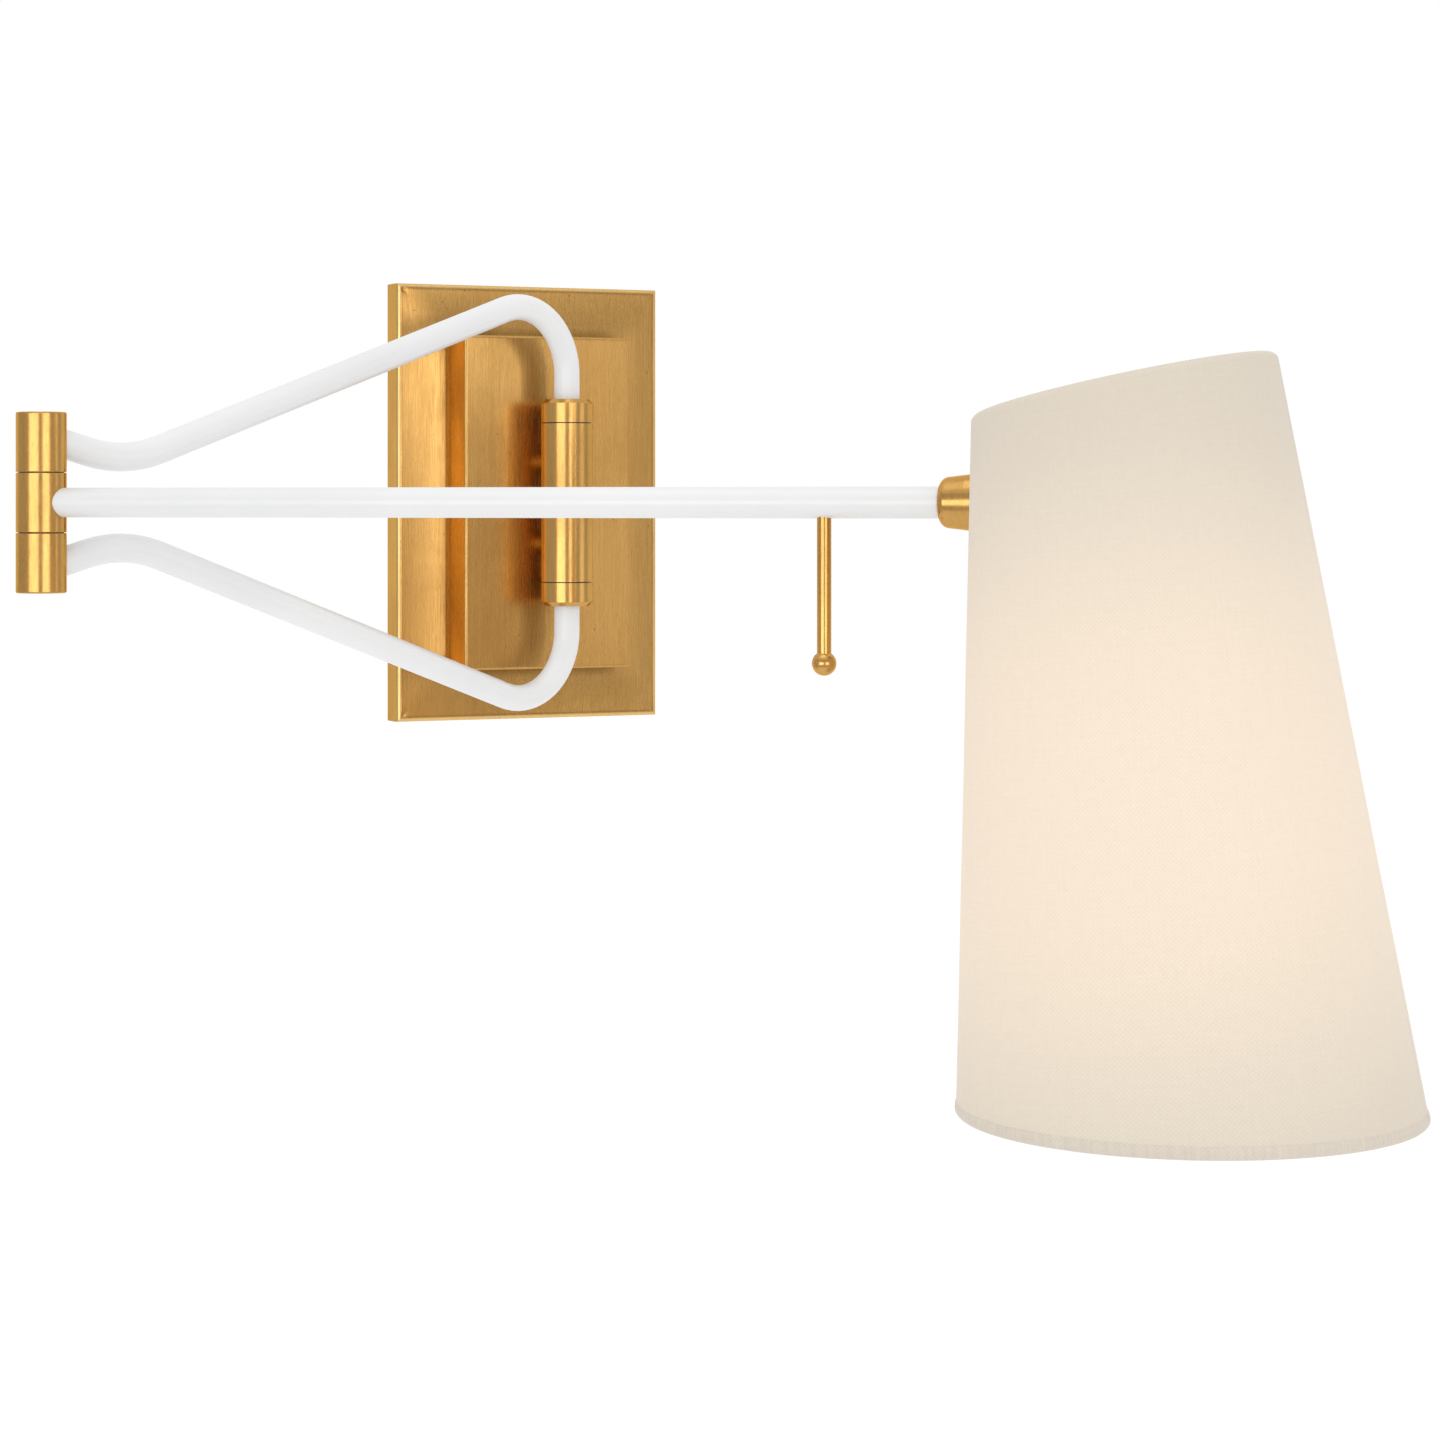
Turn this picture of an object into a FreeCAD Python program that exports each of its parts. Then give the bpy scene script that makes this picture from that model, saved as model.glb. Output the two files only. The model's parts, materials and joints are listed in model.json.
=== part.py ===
"""Swing arm wall sconce: a back plate and wall pivot, a two-tube inner arm, an elbow, an outer arm with a
pull rod, and a tapered shade on a swivelling head.

Row frame, in millimetres: X along the wall, +Y into the wall, +Z up. The origin is the centre of the back
plate's rear face. The arms are built in frames of their own, with X along the arm, and are placed last.
"""
import FreeCAD
import Part
import math
import os

from FreeCAD import Placement, Rotation, Vector

# ---- back plate -------------------------------------------------------------------------------------
PLATE_W = 114.3
PLATE_H = 177.8
PLATE_EDGE = 12.5          # depth of the pan's side walls
PLATE_RISE = 2.0           # the border climbs this much from the edge to the block's foot
PLATE_SHEET = 1.5
EDGE_ROUND = 1.2

# ---- raised block -----------------------------------------------------------------------------------
BLOCK_W = 72.0
BLOCK_H = 135.0
BLOCK_FRONT = 34.0         # distance of the block's front face from the wall
BLOCK_SHEET = 1.6
BEAD = 0.9                 # step round the block's foot
LIP = 5.0                  # the plate's opening is this much inside the block's outline
BOSS_R = 3.5
BOSS_INSET = 6.5
SCREW_R = 1.5
SCREW_SLACK = 0.2
SCREW_HEAD_R = 2.8
NUT_PLACES = ((-20.0, 4.0), (20.0, 4.0), (-20.0, -34.0))   # X and Z of the wire connectors
NUT_Y = -22.0
LEAD_R = 1.1

# ---- mounting strap ---------------------------------------------------------------------------------
STRAP_W = 20.0
STRAP_T = 2.0
EAR_DEPTH = 10.0
EAR_GAP = 0.4              # between an ear and the plate's side wall
SIDE_SCREW_Y = 6.0         # distance of the side screws from the wall
BOX_SPACING = 83.3         # screws of a standard wiring box
SLOT_LENGTH = 9.0
SLOT_R = 2.2
GROUND_Z = -22.0

# ---- wall pivot -------------------------------------------------------------------------------------
PIVOT_OUT = 54.2           # pivot axis to wall
SLEEVE_R = 10.25
SLEEVE_HALF = 31.6
COLLAR_H = 9.25
COLLAR_BEVEL = 1.6
WASHER_T = 0.4
FACE_GAP = 0.05            # running gap between faces that turn on each other
RUN_FIT = 0.05             # radial running fit of every pivot
SPINDLE_R = 6.0
SPINDLE_BORE = 3.9
SPINDLE_HALF = 37.0
POST_R = 4.75
POST_Z = 16.6
STUD_R = 3.2
STUD_LENGTH = 9.0
WIRE_HOLE_R = 2.0
TUBE_SEAT_DEPTH = 4.0      # how far an arm tube sits inside the spindle

# ---- arms -------------------------------------------------------------------------------------------
TUBE_R = 5.1
TUBE_WALL = 1.0
INNER_LEN = 254.3          # wall pivot to elbow
INNER_TURN = 202.6         # rest direction of the inner arm, anticlockwise from +X seen from above
LOOP_R = 26.0              # bend over the pivot
LOOP_Z = 51.2              # height at which the tube starts to bend
FALL = 18.6                # slope of the long straight stretch, in degrees
DIP_R = 55.0               # bend before the elbow
CLIMB = 14.5               # slope of the last stretch, in degrees
ELBOW_ENTRY_Z = 22.9       # height at which the tube's centre line meets the elbow's axis

OUTER_TURN = -42.1         # rest direction of the outer arm
OUTER_LEN = 326.0          # elbow axis to the tube's far end

# ---- elbow ------------------------------------------------------------------------------------------
KNUCKLE_R = 8.7
KNUCKLE_MID = 10.3         # half the height of the middle cylinder
KNUCKLE_TOP = 31.3
KNUCKLE_ROUND = 0.6
SEAM_ROUND = 0.25
PIN_R = 5.0
PIN_BORE = 3.0
PIN_HALF = 28.8
PLUG_R = 6.5
THIN_WASHER = 0.2
ELBOW_WIRE_Z = 21.0
TUBE_STOP_R = 5.4          # the tubes end this far from the elbow's axis

# ---- pull rod ---------------------------------------------------------------------------------------
ROD_X = 281.5
ROD_R = 2.3
BALL_R = 3.95
BALL_Z = -51.6
ROD_COLLAR_R = 2.85
ROD_COLLAR_Z = 2.0
ROD_COLLAR_T = 0.85
SPRING_WIRE = 0.35
SPRING_MEAN_R = 2.7
SPRING_LOW = -2.7
SPRING_TURNS = 3.5

# ---- shade ------------------------------------------------------------------------------------------
SHADE_X = 382.4            # the cone's axis crosses the arm's height this far from the elbow
SHADE_R = 52.0             # radius there
SHADE_LEAN = 5.0           # lean of the cone's axis, in degrees
SHADE_FLARE = 6.1          # half angle of the cone, in degrees
SHADE_BOTTOM = -190.6
TOP_Z = 36.8               # height of the top rim's plane at TOP_X
TOP_X = 378.0
TOP_SLOPE = 11.9           # the top rim's plane climbs away from the elbow, in degrees
FABRIC_T = 0.6
LINER_T = 0.8
HEM_T = 0.5
TOP_HEM_T = 0.35
BOTTOM_HEM = 4.6
TOP_HEM = 1.8
RING_WIRE_R = 1.3

# ---- head -------------------------------------------------------------------------------------------
CUP_START = 320.0
CUP_ROUND = 3.0
CUP_R = 8.2
CUP_MOUTH_R = 8.9
CUP_FLOOR = 326.3
JOURNAL_R = 3.0
JOURNAL_START = 306.0
STEM_R = 4.0
STEM_BORE = 1.8
STEM_END = 384.0
CLIP_X = 308.6
CLIP_T = 0.8
CLIP_GROOVE = 0.6
BUSH_X = 310.0
SADDLE_END = 334.0
HEAD_X = 388.0             # vertical axis of the socket and bulb
ELBOW_BLOCK = 16.0
NIPPLE_R = 4.85
NIPPLE_BORE = 2.8
NIPPLE_TOP = -5.0
CAP_R = 17.6
SOCKET_R = 16.5
SOCKET_TOP = -20.0
SOCKET_END = -56.0
FLANGE_Z = -34.8
FITTER_R = 20.5
FITTER_T = 1.2
RETAINER_T = 3.4
SCREW_SHELL_R = 13.6
BULB_BASE_R = 13.1
BULB_R = 30.0
BULB_MID = -104.0
GLASS_T = 0.9
FITTER_ARMS = (0.0, 120.0, 240.0)

# ---- worked out from the sizes above ----------------------------------------------------------------
X_AXIS = Vector(1, 0, 0)
Y_AXIS = Vector(0, 1, 0)
Z_AXIS = Vector(0, 0, 1)
ORIGIN = Vector(0, 0, 0)

FOOT_Y = PLATE_EDGE + PLATE_RISE
BLOCK_INSIDE_Y = -BLOCK_FRONT + BLOCK_SHEET
COLLAR_LOW = SLEEVE_HALF + FACE_GAP + WASHER_T
COLLAR_TOP = COLLAR_LOW + COLLAR_H
TUBE_SEAT = SPINDLE_HALF - TUBE_SEAT_DEPTH
SET_SCREW_Z = (COLLAR_LOW + SPINDLE_HALF) / 2
KNUCKLE_LOW = KNUCKLE_MID + FACE_GAP + THIN_WASHER

LEAN = math.radians(SHADE_LEAN)
SHADE_DOWN = Vector(math.sin(LEAN), 0, -math.cos(LEAN))
SHADE_SIDE = Vector(math.cos(LEAN), 0, math.sin(LEAN))
SHADE_HEART = Vector(SHADE_X, 0, 0)
FLARE = math.tan(math.radians(SHADE_FLARE))
TOP_NORMAL = Vector(-math.sin(math.radians(TOP_SLOPE)), 0, math.cos(math.radians(TOP_SLOPE)))
TOP_POINT = Vector(TOP_X, 0, TOP_Z)
WALL_T = FABRIC_T + LINER_T
RING_INSET = WALL_T + HEM_T + RING_WIRE_R
RING_DROP = 2.2
TOP_RING_POINT = TOP_POINT.sub(Vector(TOP_NORMAL).multiply(RING_DROP))
BOTTOM_RING_POINT = Vector(SHADE_X, 0, SHADE_BOTTOM + RING_DROP)

WALL_PIVOT = Vector(0, -PIVOT_OUT, 0)
INNER_FRAME = Placement(WALL_PIVOT, Rotation(Z_AXIS, INNER_TURN))
ELBOW = INNER_FRAME.multVec(Vector(INNER_LEN, 0, 0))
OUTER_FRAME = Placement(ELBOW, Rotation(Z_AXIS, OUTER_TURN))
HERE = Placement()


# ---- small helpers ----------------------------------------------------------------------------------
def save(name, shape, frame=HERE):
    """Place a finished piece in the row frame and write it as its own file."""
    placed = shape.copy()
    placed.Placement = frame.multiply(placed.Placement)
    placed.exportStep("parts/" + name + ".step")


def rod(radius, start, end):
    """A plain cylinder between two points."""
    along = end.sub(start)
    return Part.makeCylinder(radius, along.Length, start, along)


def pipe(outer, inner, start, end):
    """A hollow cylinder between two points."""
    return rod(outer, start, end).cut(rod(inner, start, end))


def upright(outer, inner, low, high, x=0.0, y=0.0):
    """A vertical ring or tube."""
    return pipe(outer, inner, Vector(x, y, low), Vector(x, y, high))


def block(low, high):
    """A box between two opposite corners."""
    size = high.sub(low)
    return Part.makeBox(size.x, size.y, size.z, low)


def frame_outline(width, height, y):
    """A rectangle in a plane parallel to the wall, centred on the plate."""
    a = width / 2
    b = height / 2
    corners = [Vector(-a, y, -b), Vector(a, y, -b), Vector(a, y, b), Vector(-a, y, b)]
    return Part.makePolygon(corners + corners[:1])


def round_edges(solid, radius, wanted):
    """Round the edges for which wanted(edge) is true."""
    chosen = [edge for edge in solid.Edges if wanted(edge)]
    return solid.makeFillet(radius, chosen)


def hexagon(across, thickness, centre, axis):
    """A hexagonal nut blank whose axis passes through centre."""
    radius = across / math.sqrt(3)
    points = [Vector(radius * math.cos(math.radians(60 * i)), radius * math.sin(math.radians(60 * i)), 0)
              for i in range(6)]
    blank = Part.Face(Part.makePolygon(points + points[:1])).extrude(Vector(0, 0, thickness))
    blank.Placement = Placement(centre, Rotation(Z_AXIS, axis))
    return blank


def turned(profile, centre, axis):
    """A solid of revolution from (radius, height) points, closed on its own outline."""
    points = [Vector(r, 0, h) for r, h in profile]
    face = Part.Face(Part.makePolygon(points + points[:1]))
    solid = face.revolve(ORIGIN, Z_AXIS, 360)
    solid.Placement = Placement(centre, Rotation(Z_AXIS, axis))
    return solid


def group(solids):
    return Part.makeCompound(solids)


def mirrored(shape):
    """The same piece below the arm's centre plane."""
    return shape.mirror(ORIGIN, Z_AXIS)


# ---- back plate -------------------------------------------------------------------------------------
def pan_solid(inset, edge_depth, rounding):
    """The plate as a full solid: straight side walls and a border that climbs to the block's foot."""
    foot_w = BLOCK_W + 2 * BEAD + 0.6
    foot_h = BLOCK_H + 2 * BEAD + 0.6
    width = PLATE_W - 2 * inset
    height = PLATE_H - 2 * inset
    walls = block(Vector(-width / 2, -edge_depth, -height / 2), Vector(width / 2, 0, height / 2))
    border = Part.makeLoft([frame_outline(width, height, -edge_depth),
                            frame_outline(foot_w, foot_h, -edge_depth - PLATE_RISE)], True, True)
    solid = walls.fuse(border).removeSplitter()
    if rounding:
        solid = round_edges(solid, rounding, lambda edge: on_front_rim(edge, edge_depth))
    return solid


def on_front_rim(edge, depth):
    """True for the four edges between the side walls and the sloping border."""
    return all(abs(vertex.Y + depth) < 0.01 for vertex in edge.Vertexes)


def boss_places():
    a = BLOCK_W / 2 - BOSS_INSET
    b = BLOCK_H / 2 - BOSS_INSET
    return [(sx * a, sz * b) for sx in (-1, 1) for sz in (-1, 1)]


def base_plate():
    shell = pan_solid(0, PLATE_EDGE, EDGE_ROUND).cut(pan_solid(PLATE_SHEET, PLATE_EDGE - PLATE_SHEET, 0))
    a = BLOCK_W / 2 - LIP
    b = BLOCK_H / 2 - LIP
    cut = 2 * BOSS_R + 2.0
    corners = [(-a + cut, -b), (a - cut, -b), (a, -b + cut), (a, b - cut),
               (a - cut, b), (-a + cut, b), (-a, b - cut), (-a, -b + cut)]
    points = [Vector(x, -30, z) for x, z in corners]
    opening = Part.Face(Part.makePolygon(points + points[:1])).extrude(Vector(0, 30, 0))
    shell = shell.cut(opening)
    for x, z in boss_places():
        shell = shell.cut(rod(SCREW_R + SCREW_SLACK, Vector(x, -30, z), Vector(x, 0, z)))
    for side in (-1, 1):
        shell = shell.cut(side_screw_bar(side, SCREW_R + SCREW_SLACK, 0))
    return shell


def side_screw_bar(side, radius, sunk):
    """A bar along a side screw's axis that stops just short of the plate's outer face by sunk."""
    reach = PLATE_H / 2 - sunk
    return rod(radius, Vector(0, -SIDE_SCREW_Y, side * (reach - 5)), Vector(0, -SIDE_SCREW_Y, side * reach))


def raised_block():
    low = Vector(-BLOCK_W / 2, -BLOCK_FRONT, -BLOCK_H / 2)
    high = Vector(BLOCK_W / 2, -FOOT_Y, BLOCK_H / 2)
    outer = block(low, high)
    outer = round_edges(outer, EDGE_ROUND, lambda edge: edge.CenterOfMass.y < -FOOT_Y - 0.1)
    a = BLOCK_W / 2 + BEAD
    b = BLOCK_H / 2 + BEAD
    bead = block(Vector(-a, -FOOT_Y - BEAD, -b), Vector(a, -FOOT_Y, b))
    a = BLOCK_W / 2 - BLOCK_SHEET
    b = BLOCK_H / 2 - BLOCK_SHEET
    hollow = block(Vector(-a, -BLOCK_FRONT + BLOCK_SHEET, -b), Vector(a, -FOOT_Y, b))
    box = outer.fuse(bead).cut(hollow)
    for x, z in boss_places():
        boss = rod(BOSS_R, Vector(x, BLOCK_INSIDE_Y, z), Vector(x, -FOOT_Y, z))
        thread = rod(SCREW_R, Vector(x, -FOOT_Y - 10, z), Vector(x, -FOOT_Y, z))
        box = box.fuse(boss).cut(thread)
    for side in (-1, 1):
        z = side * POST_Z
        box = box.cut(rod(STUD_R, Vector(0, -BLOCK_FRONT, z), Vector(0, BLOCK_INSIDE_Y, z)))
    return box.removeSplitter()


def block_screws():
    """Four pan head screws that come up through the plate into the block's bosses."""
    seat = -FOOT_Y + PLATE_SHEET
    screws = []
    for x, z in boss_places():
        shank = rod(SCREW_R, Vector(x, -FOOT_Y - 9, z), Vector(x, seat, z))
        head = rod(SCREW_HEAD_R, Vector(x, seat, z), Vector(x, seat + 2.0, z))
        slot_low = Vector(x - SCREW_HEAD_R, seat + 1.2, z - 0.35)
        slot = block(slot_low, Vector(x + SCREW_HEAD_R, seat + 2.0, z + 0.35))
        screws.append(shank.fuse(head).cut(slot))
    return group(screws)


def mounting_strap():
    """A flat strap on the wall whose two ends are bent forward as threaded ears."""
    reach = PLATE_H / 2 - PLATE_SHEET - EAR_GAP
    a = STRAP_W / 2
    strap = block(Vector(-a, -STRAP_T, -reach), Vector(a, 0, reach))
    for side in (-1, 1):
        low = min(side * reach, side * (reach - STRAP_T))
        ear = block(Vector(-a, -EAR_DEPTH, low), Vector(a, 0, low + STRAP_T))
        strap = strap.fuse(ear)
    strap = strap.removeSplitter()
    for side in (-1, 1):
        strap = strap.cut(side_screw_bar(side, SCREW_R, 0))
        strap = strap.cut(slot_cutter(side * BOX_SPACING / 2))
    return strap.cut(rod(SCREW_R, Vector(0, -STRAP_T, GROUND_Z), Vector(0, 0, GROUND_Z)))


def slot_cutter(z):
    """A slot through the strap, with round ends and its length along Z."""
    half = SLOT_LENGTH / 2 - SLOT_R
    middle = block(Vector(-SLOT_R, -STRAP_T, z - half), Vector(SLOT_R, 0, z + half))
    ends = [rod(SLOT_R, Vector(0, -STRAP_T, z + end), Vector(0, 0, z + end)) for end in (-half, half)]
    return middle.fuse(ends)


def ground_screw():
    head = hexagon(8.0, 3.0, Vector(0, -STRAP_T, GROUND_Z), Vector(0, -1, 0))
    shank = rod(SCREW_R, Vector(0, -STRAP_T, GROUND_Z), Vector(0, 0, GROUND_Z))
    slot = block(Vector(-4, -STRAP_T - 3, GROUND_Z - 0.4), Vector(4, -STRAP_T - 2, GROUND_Z + 0.4))
    return head.cut(slot).fuse(shank)


def side_screws():
    """Two headless screws, sunk in the plate's top and bottom walls and threaded into the strap's ears."""
    sunk = 0.3
    screws = []
    for side in (-1, 1):
        outer_end = Vector(0, -SIDE_SCREW_Y, side * (PLATE_H / 2 - sunk))
        bar = side_screw_bar(side, SCREW_R, sunk)
        screws.append(bar.cut(hexagon(1.5, 1.2, outer_end, Vector(0, 0, -side))))
    return group(screws)


# ---- wall pivot -------------------------------------------------------------------------------------
def post(z):
    """A round post from the block to the sleeve, with a stud that passes through the block's front."""
    body = rod(POST_R, Vector(0, -PIVOT_OUT, z), Vector(0, -BLOCK_FRONT, z))
    body = body.cut(Part.makeCylinder(SLEEVE_R, 40, Vector(0, -PIVOT_OUT, z - 20)))
    stud = rod(STUD_R, Vector(0, -BLOCK_FRONT, z), Vector(0, -BLOCK_FRONT + STUD_LENGTH, z))
    wire_way = rod(WIRE_HOLE_R, Vector(0, -PIVOT_OUT, z), Vector(0, 0, z))
    return body.fuse(stud).cut(wire_way)


def post_washers():
    return group([pipe(7.0, STUD_R, Vector(0, BLOCK_INSIDE_Y, z), Vector(0, BLOCK_INSIDE_Y + 1.0, z))
                  for z in (-POST_Z, POST_Z)])


def post_nuts():
    back = BLOCK_INSIDE_Y + 1.0
    nuts = []
    for z in (-POST_Z, POST_Z):
        nut = hexagon(11.0, 4.0, Vector(0, back, z), Y_AXIS)
        nuts.append(nut.cut(rod(STUD_R, Vector(0, back, z), Vector(0, back + 4, z))))
    return group(nuts)


def pivot_sleeve():
    sleeve = upright(SLEEVE_R, SPINDLE_R + RUN_FIT, -SLEEVE_HALF, SLEEVE_HALF, y=-PIVOT_OUT)
    for z in (-POST_Z, POST_Z):
        sleeve = sleeve.cut(rod(WIRE_HOLE_R, Vector(0, -PIVOT_OUT, z), Vector(0, 0, z)))
    return sleeve


def upper_collar():
    """The collar over the sleeve: it grips the spindle below and the arm tube above."""
    profile = [(0, COLLAR_LOW), (SLEEVE_R, COLLAR_LOW), (SLEEVE_R, COLLAR_TOP - COLLAR_BEVEL),
               (SLEEVE_R - COLLAR_BEVEL, COLLAR_TOP), (0, COLLAR_TOP)]
    collar = turned(profile, ORIGIN, Z_AXIS)
    collar = collar.cut(rod(SPINDLE_R, Vector(0, 0, COLLAR_LOW), Vector(0, 0, SPINDLE_HALF)))
    collar = collar.cut(rod(TUBE_R, Vector(0, 0, SPINDLE_HALF), Vector(0, 0, COLLAR_TOP)))
    return collar.cut(set_screw(SET_SCREW_Z, SPINDLE_R, SLEEVE_R, 0))


def set_screw(z, inner, outer, recess):
    """A headless screw that points at the axis from the wall side of the inner arm."""
    return rod(SCREW_R, Vector(0, -outer + recess, z), Vector(0, -inner, z))


def set_screws(z, inner, outer):
    screw = set_screw(z, inner, outer, 0.5)
    key = hexagon(1.5, 1.2, Vector(0, -outer + 0.5, z), Y_AXIS)
    one = screw.cut(key)
    return group([one, mirrored(one)])


def pivot_spindle():
    """A hollow shaft through the sleeve with a window that lets the wires turn."""
    spindle = upright(SPINDLE_R, SPINDLE_BORE, -SPINDLE_HALF, SPINDLE_HALF)
    for side in (-1, 1):
        seat = rod(TUBE_R, Vector(0, 0, side * TUBE_SEAT), Vector(0, 0, side * SPINDLE_HALF))
        window = block(Vector(-8, -8, side * POST_Z - 3), Vector(0.5, 8, side * POST_Z + 3))
        spindle = spindle.cut(seat).cut(window)
    return spindle


def pivot_washers():
    low = SLEEVE_HALF + FACE_GAP
    one = upright(SLEEVE_R - 0.7, SPINDLE_R, low, low + WASHER_T)
    return group([one, mirrored(one)])


# ---- inner arm --------------------------------------------------------------------------------------
def arm_path():
    """The upper tube's centre line: up, over the pivot, a long fall, a dip and a short climb."""
    fall = math.radians(FALL)
    climb = math.radians(CLIMB)
    start = Vector(0, 0, TUBE_SEAT)
    bend = Vector(0, 0, LOOP_Z)
    loop = Vector(LOOP_R, 0, LOOP_Z)
    loop_mid_angle = math.radians(180 - (90 + FALL) / 2)
    loop_mid = loop.add(Vector(math.cos(loop_mid_angle), 0, math.sin(loop_mid_angle)).multiply(LOOP_R))
    loop_end = loop.add(Vector(math.sin(fall), 0, math.cos(fall)).multiply(LOOP_R))
    end = Vector(INNER_LEN, 0, ELBOW_ENTRY_Z)
    top_line = loop_end.z + loop_end.x * math.tan(fall)
    end_line = end.z - end.x * math.tan(climb)
    corner_x = (top_line - end_line) / (math.tan(fall) + math.tan(climb))
    corner = Vector(corner_x, 0, top_line - corner_x * math.tan(fall))
    reach = DIP_R * math.tan((fall + climb) / 2)
    dip_start = corner.add(Vector(-math.cos(fall), 0, math.sin(fall)).multiply(reach))
    dip_end = corner.add(Vector(math.cos(climb), 0, math.sin(climb)).multiply(reach))
    dip = dip_start.add(Vector(math.sin(fall), 0, math.cos(fall)).multiply(DIP_R))
    dip_mid = dip.add(corner.sub(dip).normalize().multiply(DIP_R))
    edges = [Part.makeLine(start, bend), Part.Arc(bend, loop_mid, loop_end).toShape(),
             Part.makeLine(loop_end, dip_start), Part.Arc(dip_start, dip_mid, dip_end).toShape(),
             Part.makeLine(dip_end, end)]
    return Part.Wire(edges)


def swept(path, radius):
    """A round bar of the given radius along a path that starts straight up."""
    start = path.Vertexes[0].Point
    ring = Part.Wire(Part.makeCircle(radius, start, Z_AXIS))
    return path.makePipeShell([ring], True, False)


def elbow_stop():
    return Part.makeCylinder(TUBE_STOP_R, 80, Vector(INNER_LEN, 0, -40))


def arm_tube_solid():
    return swept(arm_path(), TUBE_R).cut(elbow_stop())


def upper_arm_tube():
    return arm_tube_solid().cut(swept(arm_path(), TUBE_R - TUBE_WALL))


def upper_knuckle():
    """The elbow's upper cylinder, bored for the pin, the end plug and the arm tube."""
    body = Part.makeCylinder(KNUCKLE_R, KNUCKLE_TOP - KNUCKLE_LOW, Vector(INNER_LEN, 0, KNUCKLE_LOW))
    body = round_edges(body, KNUCKLE_ROUND, lambda edge: abs(edge.CenterOfMass.z - KNUCKLE_TOP) < 0.01)
    body = round_edges(body, SEAM_ROUND, lambda edge: abs(edge.CenterOfMass.z - KNUCKLE_LOW) < 0.01)
    body = body.cut(Part.makeCylinder(PIN_R, PIN_HALF - KNUCKLE_LOW, Vector(INNER_LEN, 0, KNUCKLE_LOW)))
    body = body.cut(Part.makeCylinder(PLUG_R, 5, Vector(INNER_LEN, 0, PIN_HALF)))
    body = body.cut(arm_tube_solid())
    wire_way = rod(WIRE_HOLE_R, Vector(INNER_LEN - 6, 0, ELBOW_WIRE_Z), Vector(INNER_LEN, 0, ELBOW_WIRE_Z))
    screw = set_screw(ELBOW_WIRE_Z, PIN_R, KNUCKLE_R, 0)
    screw.translate(Vector(INNER_LEN, 0, 0))
    return body.cut(wire_way).cut(screw)


def knuckle_pin():
    """A hollow pin with a window in the middle, so that the wires turn with the outer arm."""
    pin = upright(PIN_R, PIN_BORE, -PIN_HALF, PIN_HALF, x=INNER_LEN)
    for z in (-ELBOW_WIRE_Z, ELBOW_WIRE_Z):
        pin = pin.cut(rod(WIRE_HOLE_R, Vector(INNER_LEN - 6, 0, z), Vector(INNER_LEN, 0, z)))
    return pin.cut(block(Vector(INNER_LEN - 6, -6, -2.5), Vector(INNER_LEN + 1.5, 6, 2.5)))


def knuckle_plugs():
    one = Part.makeCylinder(PLUG_R, KNUCKLE_TOP - PIN_HALF, Vector(INNER_LEN, 0, PIN_HALF))
    return group([one, mirrored(one)])


def knuckle_washers():
    low = KNUCKLE_MID + FACE_GAP
    one = upright(KNUCKLE_R - 0.9, PIN_R, low, low + THIN_WASHER, x=INNER_LEN)
    return group([one, mirrored(one)])


def knuckle_set_screws():
    screws = set_screws(ELBOW_WIRE_Z, PIN_R, KNUCKLE_R)
    screws.translate(Vector(INNER_LEN, 0, 0))
    return screws


# ---- outer arm --------------------------------------------------------------------------------------
def arm_bar(radius, start, end):
    """A round bar along the outer arm."""
    return rod(radius, Vector(start, 0, 0), Vector(end, 0, 0))


def middle_knuckle():
    body = Part.makeCylinder(KNUCKLE_R, 2 * KNUCKLE_MID, Vector(0, 0, -KNUCKLE_MID))
    body = round_edges(body, SEAM_ROUND, lambda edge: abs(abs(edge.CenterOfMass.z) - KNUCKLE_MID) < 0.01)
    body = body.cut(Part.makeCylinder(PIN_R + RUN_FIT, 2 * KNUCKLE_MID, Vector(0, 0, -KNUCKLE_MID)))
    seat = arm_bar(TUBE_R, 0, 20).cut(Part.makeCylinder(TUBE_STOP_R, 20, Vector(0, 0, -10)))
    return body.cut(seat).cut(arm_bar(WIRE_HOLE_R, 0, 10))


def outer_arm_tube():
    bore = Part.makeCylinder(TUBE_STOP_R, 20, Vector(0, 0, -10))
    tube = arm_bar(TUBE_R, 0, OUTER_LEN).cut(bore).cut(arm_bar(TUBE_R - TUBE_WALL, 0, OUTER_LEN))
    return tube.cut(rod(ROD_R + RUN_FIT, Vector(ROD_X, 0, -TUBE_R - 1), Vector(ROD_X, 0, 0)))


def switch_body():
    """The switch beside the rod's collar, with a tongue that the collar pulls on."""
    body = arm_bar(TUBE_R - TUBE_WALL, ROD_X + 5, ROD_X + 22)
    groove = block(Vector(ROD_X + 8, -5, 2.2), Vector(ROD_X + 19, 5, 6))
    tongue = block(Vector(ROD_X + 1, -1.2, 3.0), Vector(ROD_X + 5, 1.2, 3.5))
    wire_way = arm_bar(1.2, ROD_X + 5, ROD_X + 22)
    return body.cut(groove).cut(wire_way).fuse(tongue)


def end_bush():
    return pipe(TUBE_R - TUBE_WALL, JOURNAL_R + RUN_FIT, Vector(BUSH_X, 0, 0), Vector(OUTER_LEN, 0, 0))


# ---- pull rod ---------------------------------------------------------------------------------------
def pull_rod():
    return rod(ROD_R, Vector(ROD_X, 0, BALL_Z), Vector(ROD_X, 0, ROD_COLLAR_Z))


def pull_ball():
    ball = Part.makeSphere(BALL_R, Vector(ROD_X, 0, BALL_Z))
    return ball.cut(rod(ROD_R, Vector(ROD_X, 0, BALL_Z), Vector(ROD_X, 0, BALL_Z + 2 * BALL_R)))


def rod_collar():
    return Part.makeCylinder(ROD_COLLAR_R, ROD_COLLAR_T, Vector(ROD_X, 0, ROD_COLLAR_Z))


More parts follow.
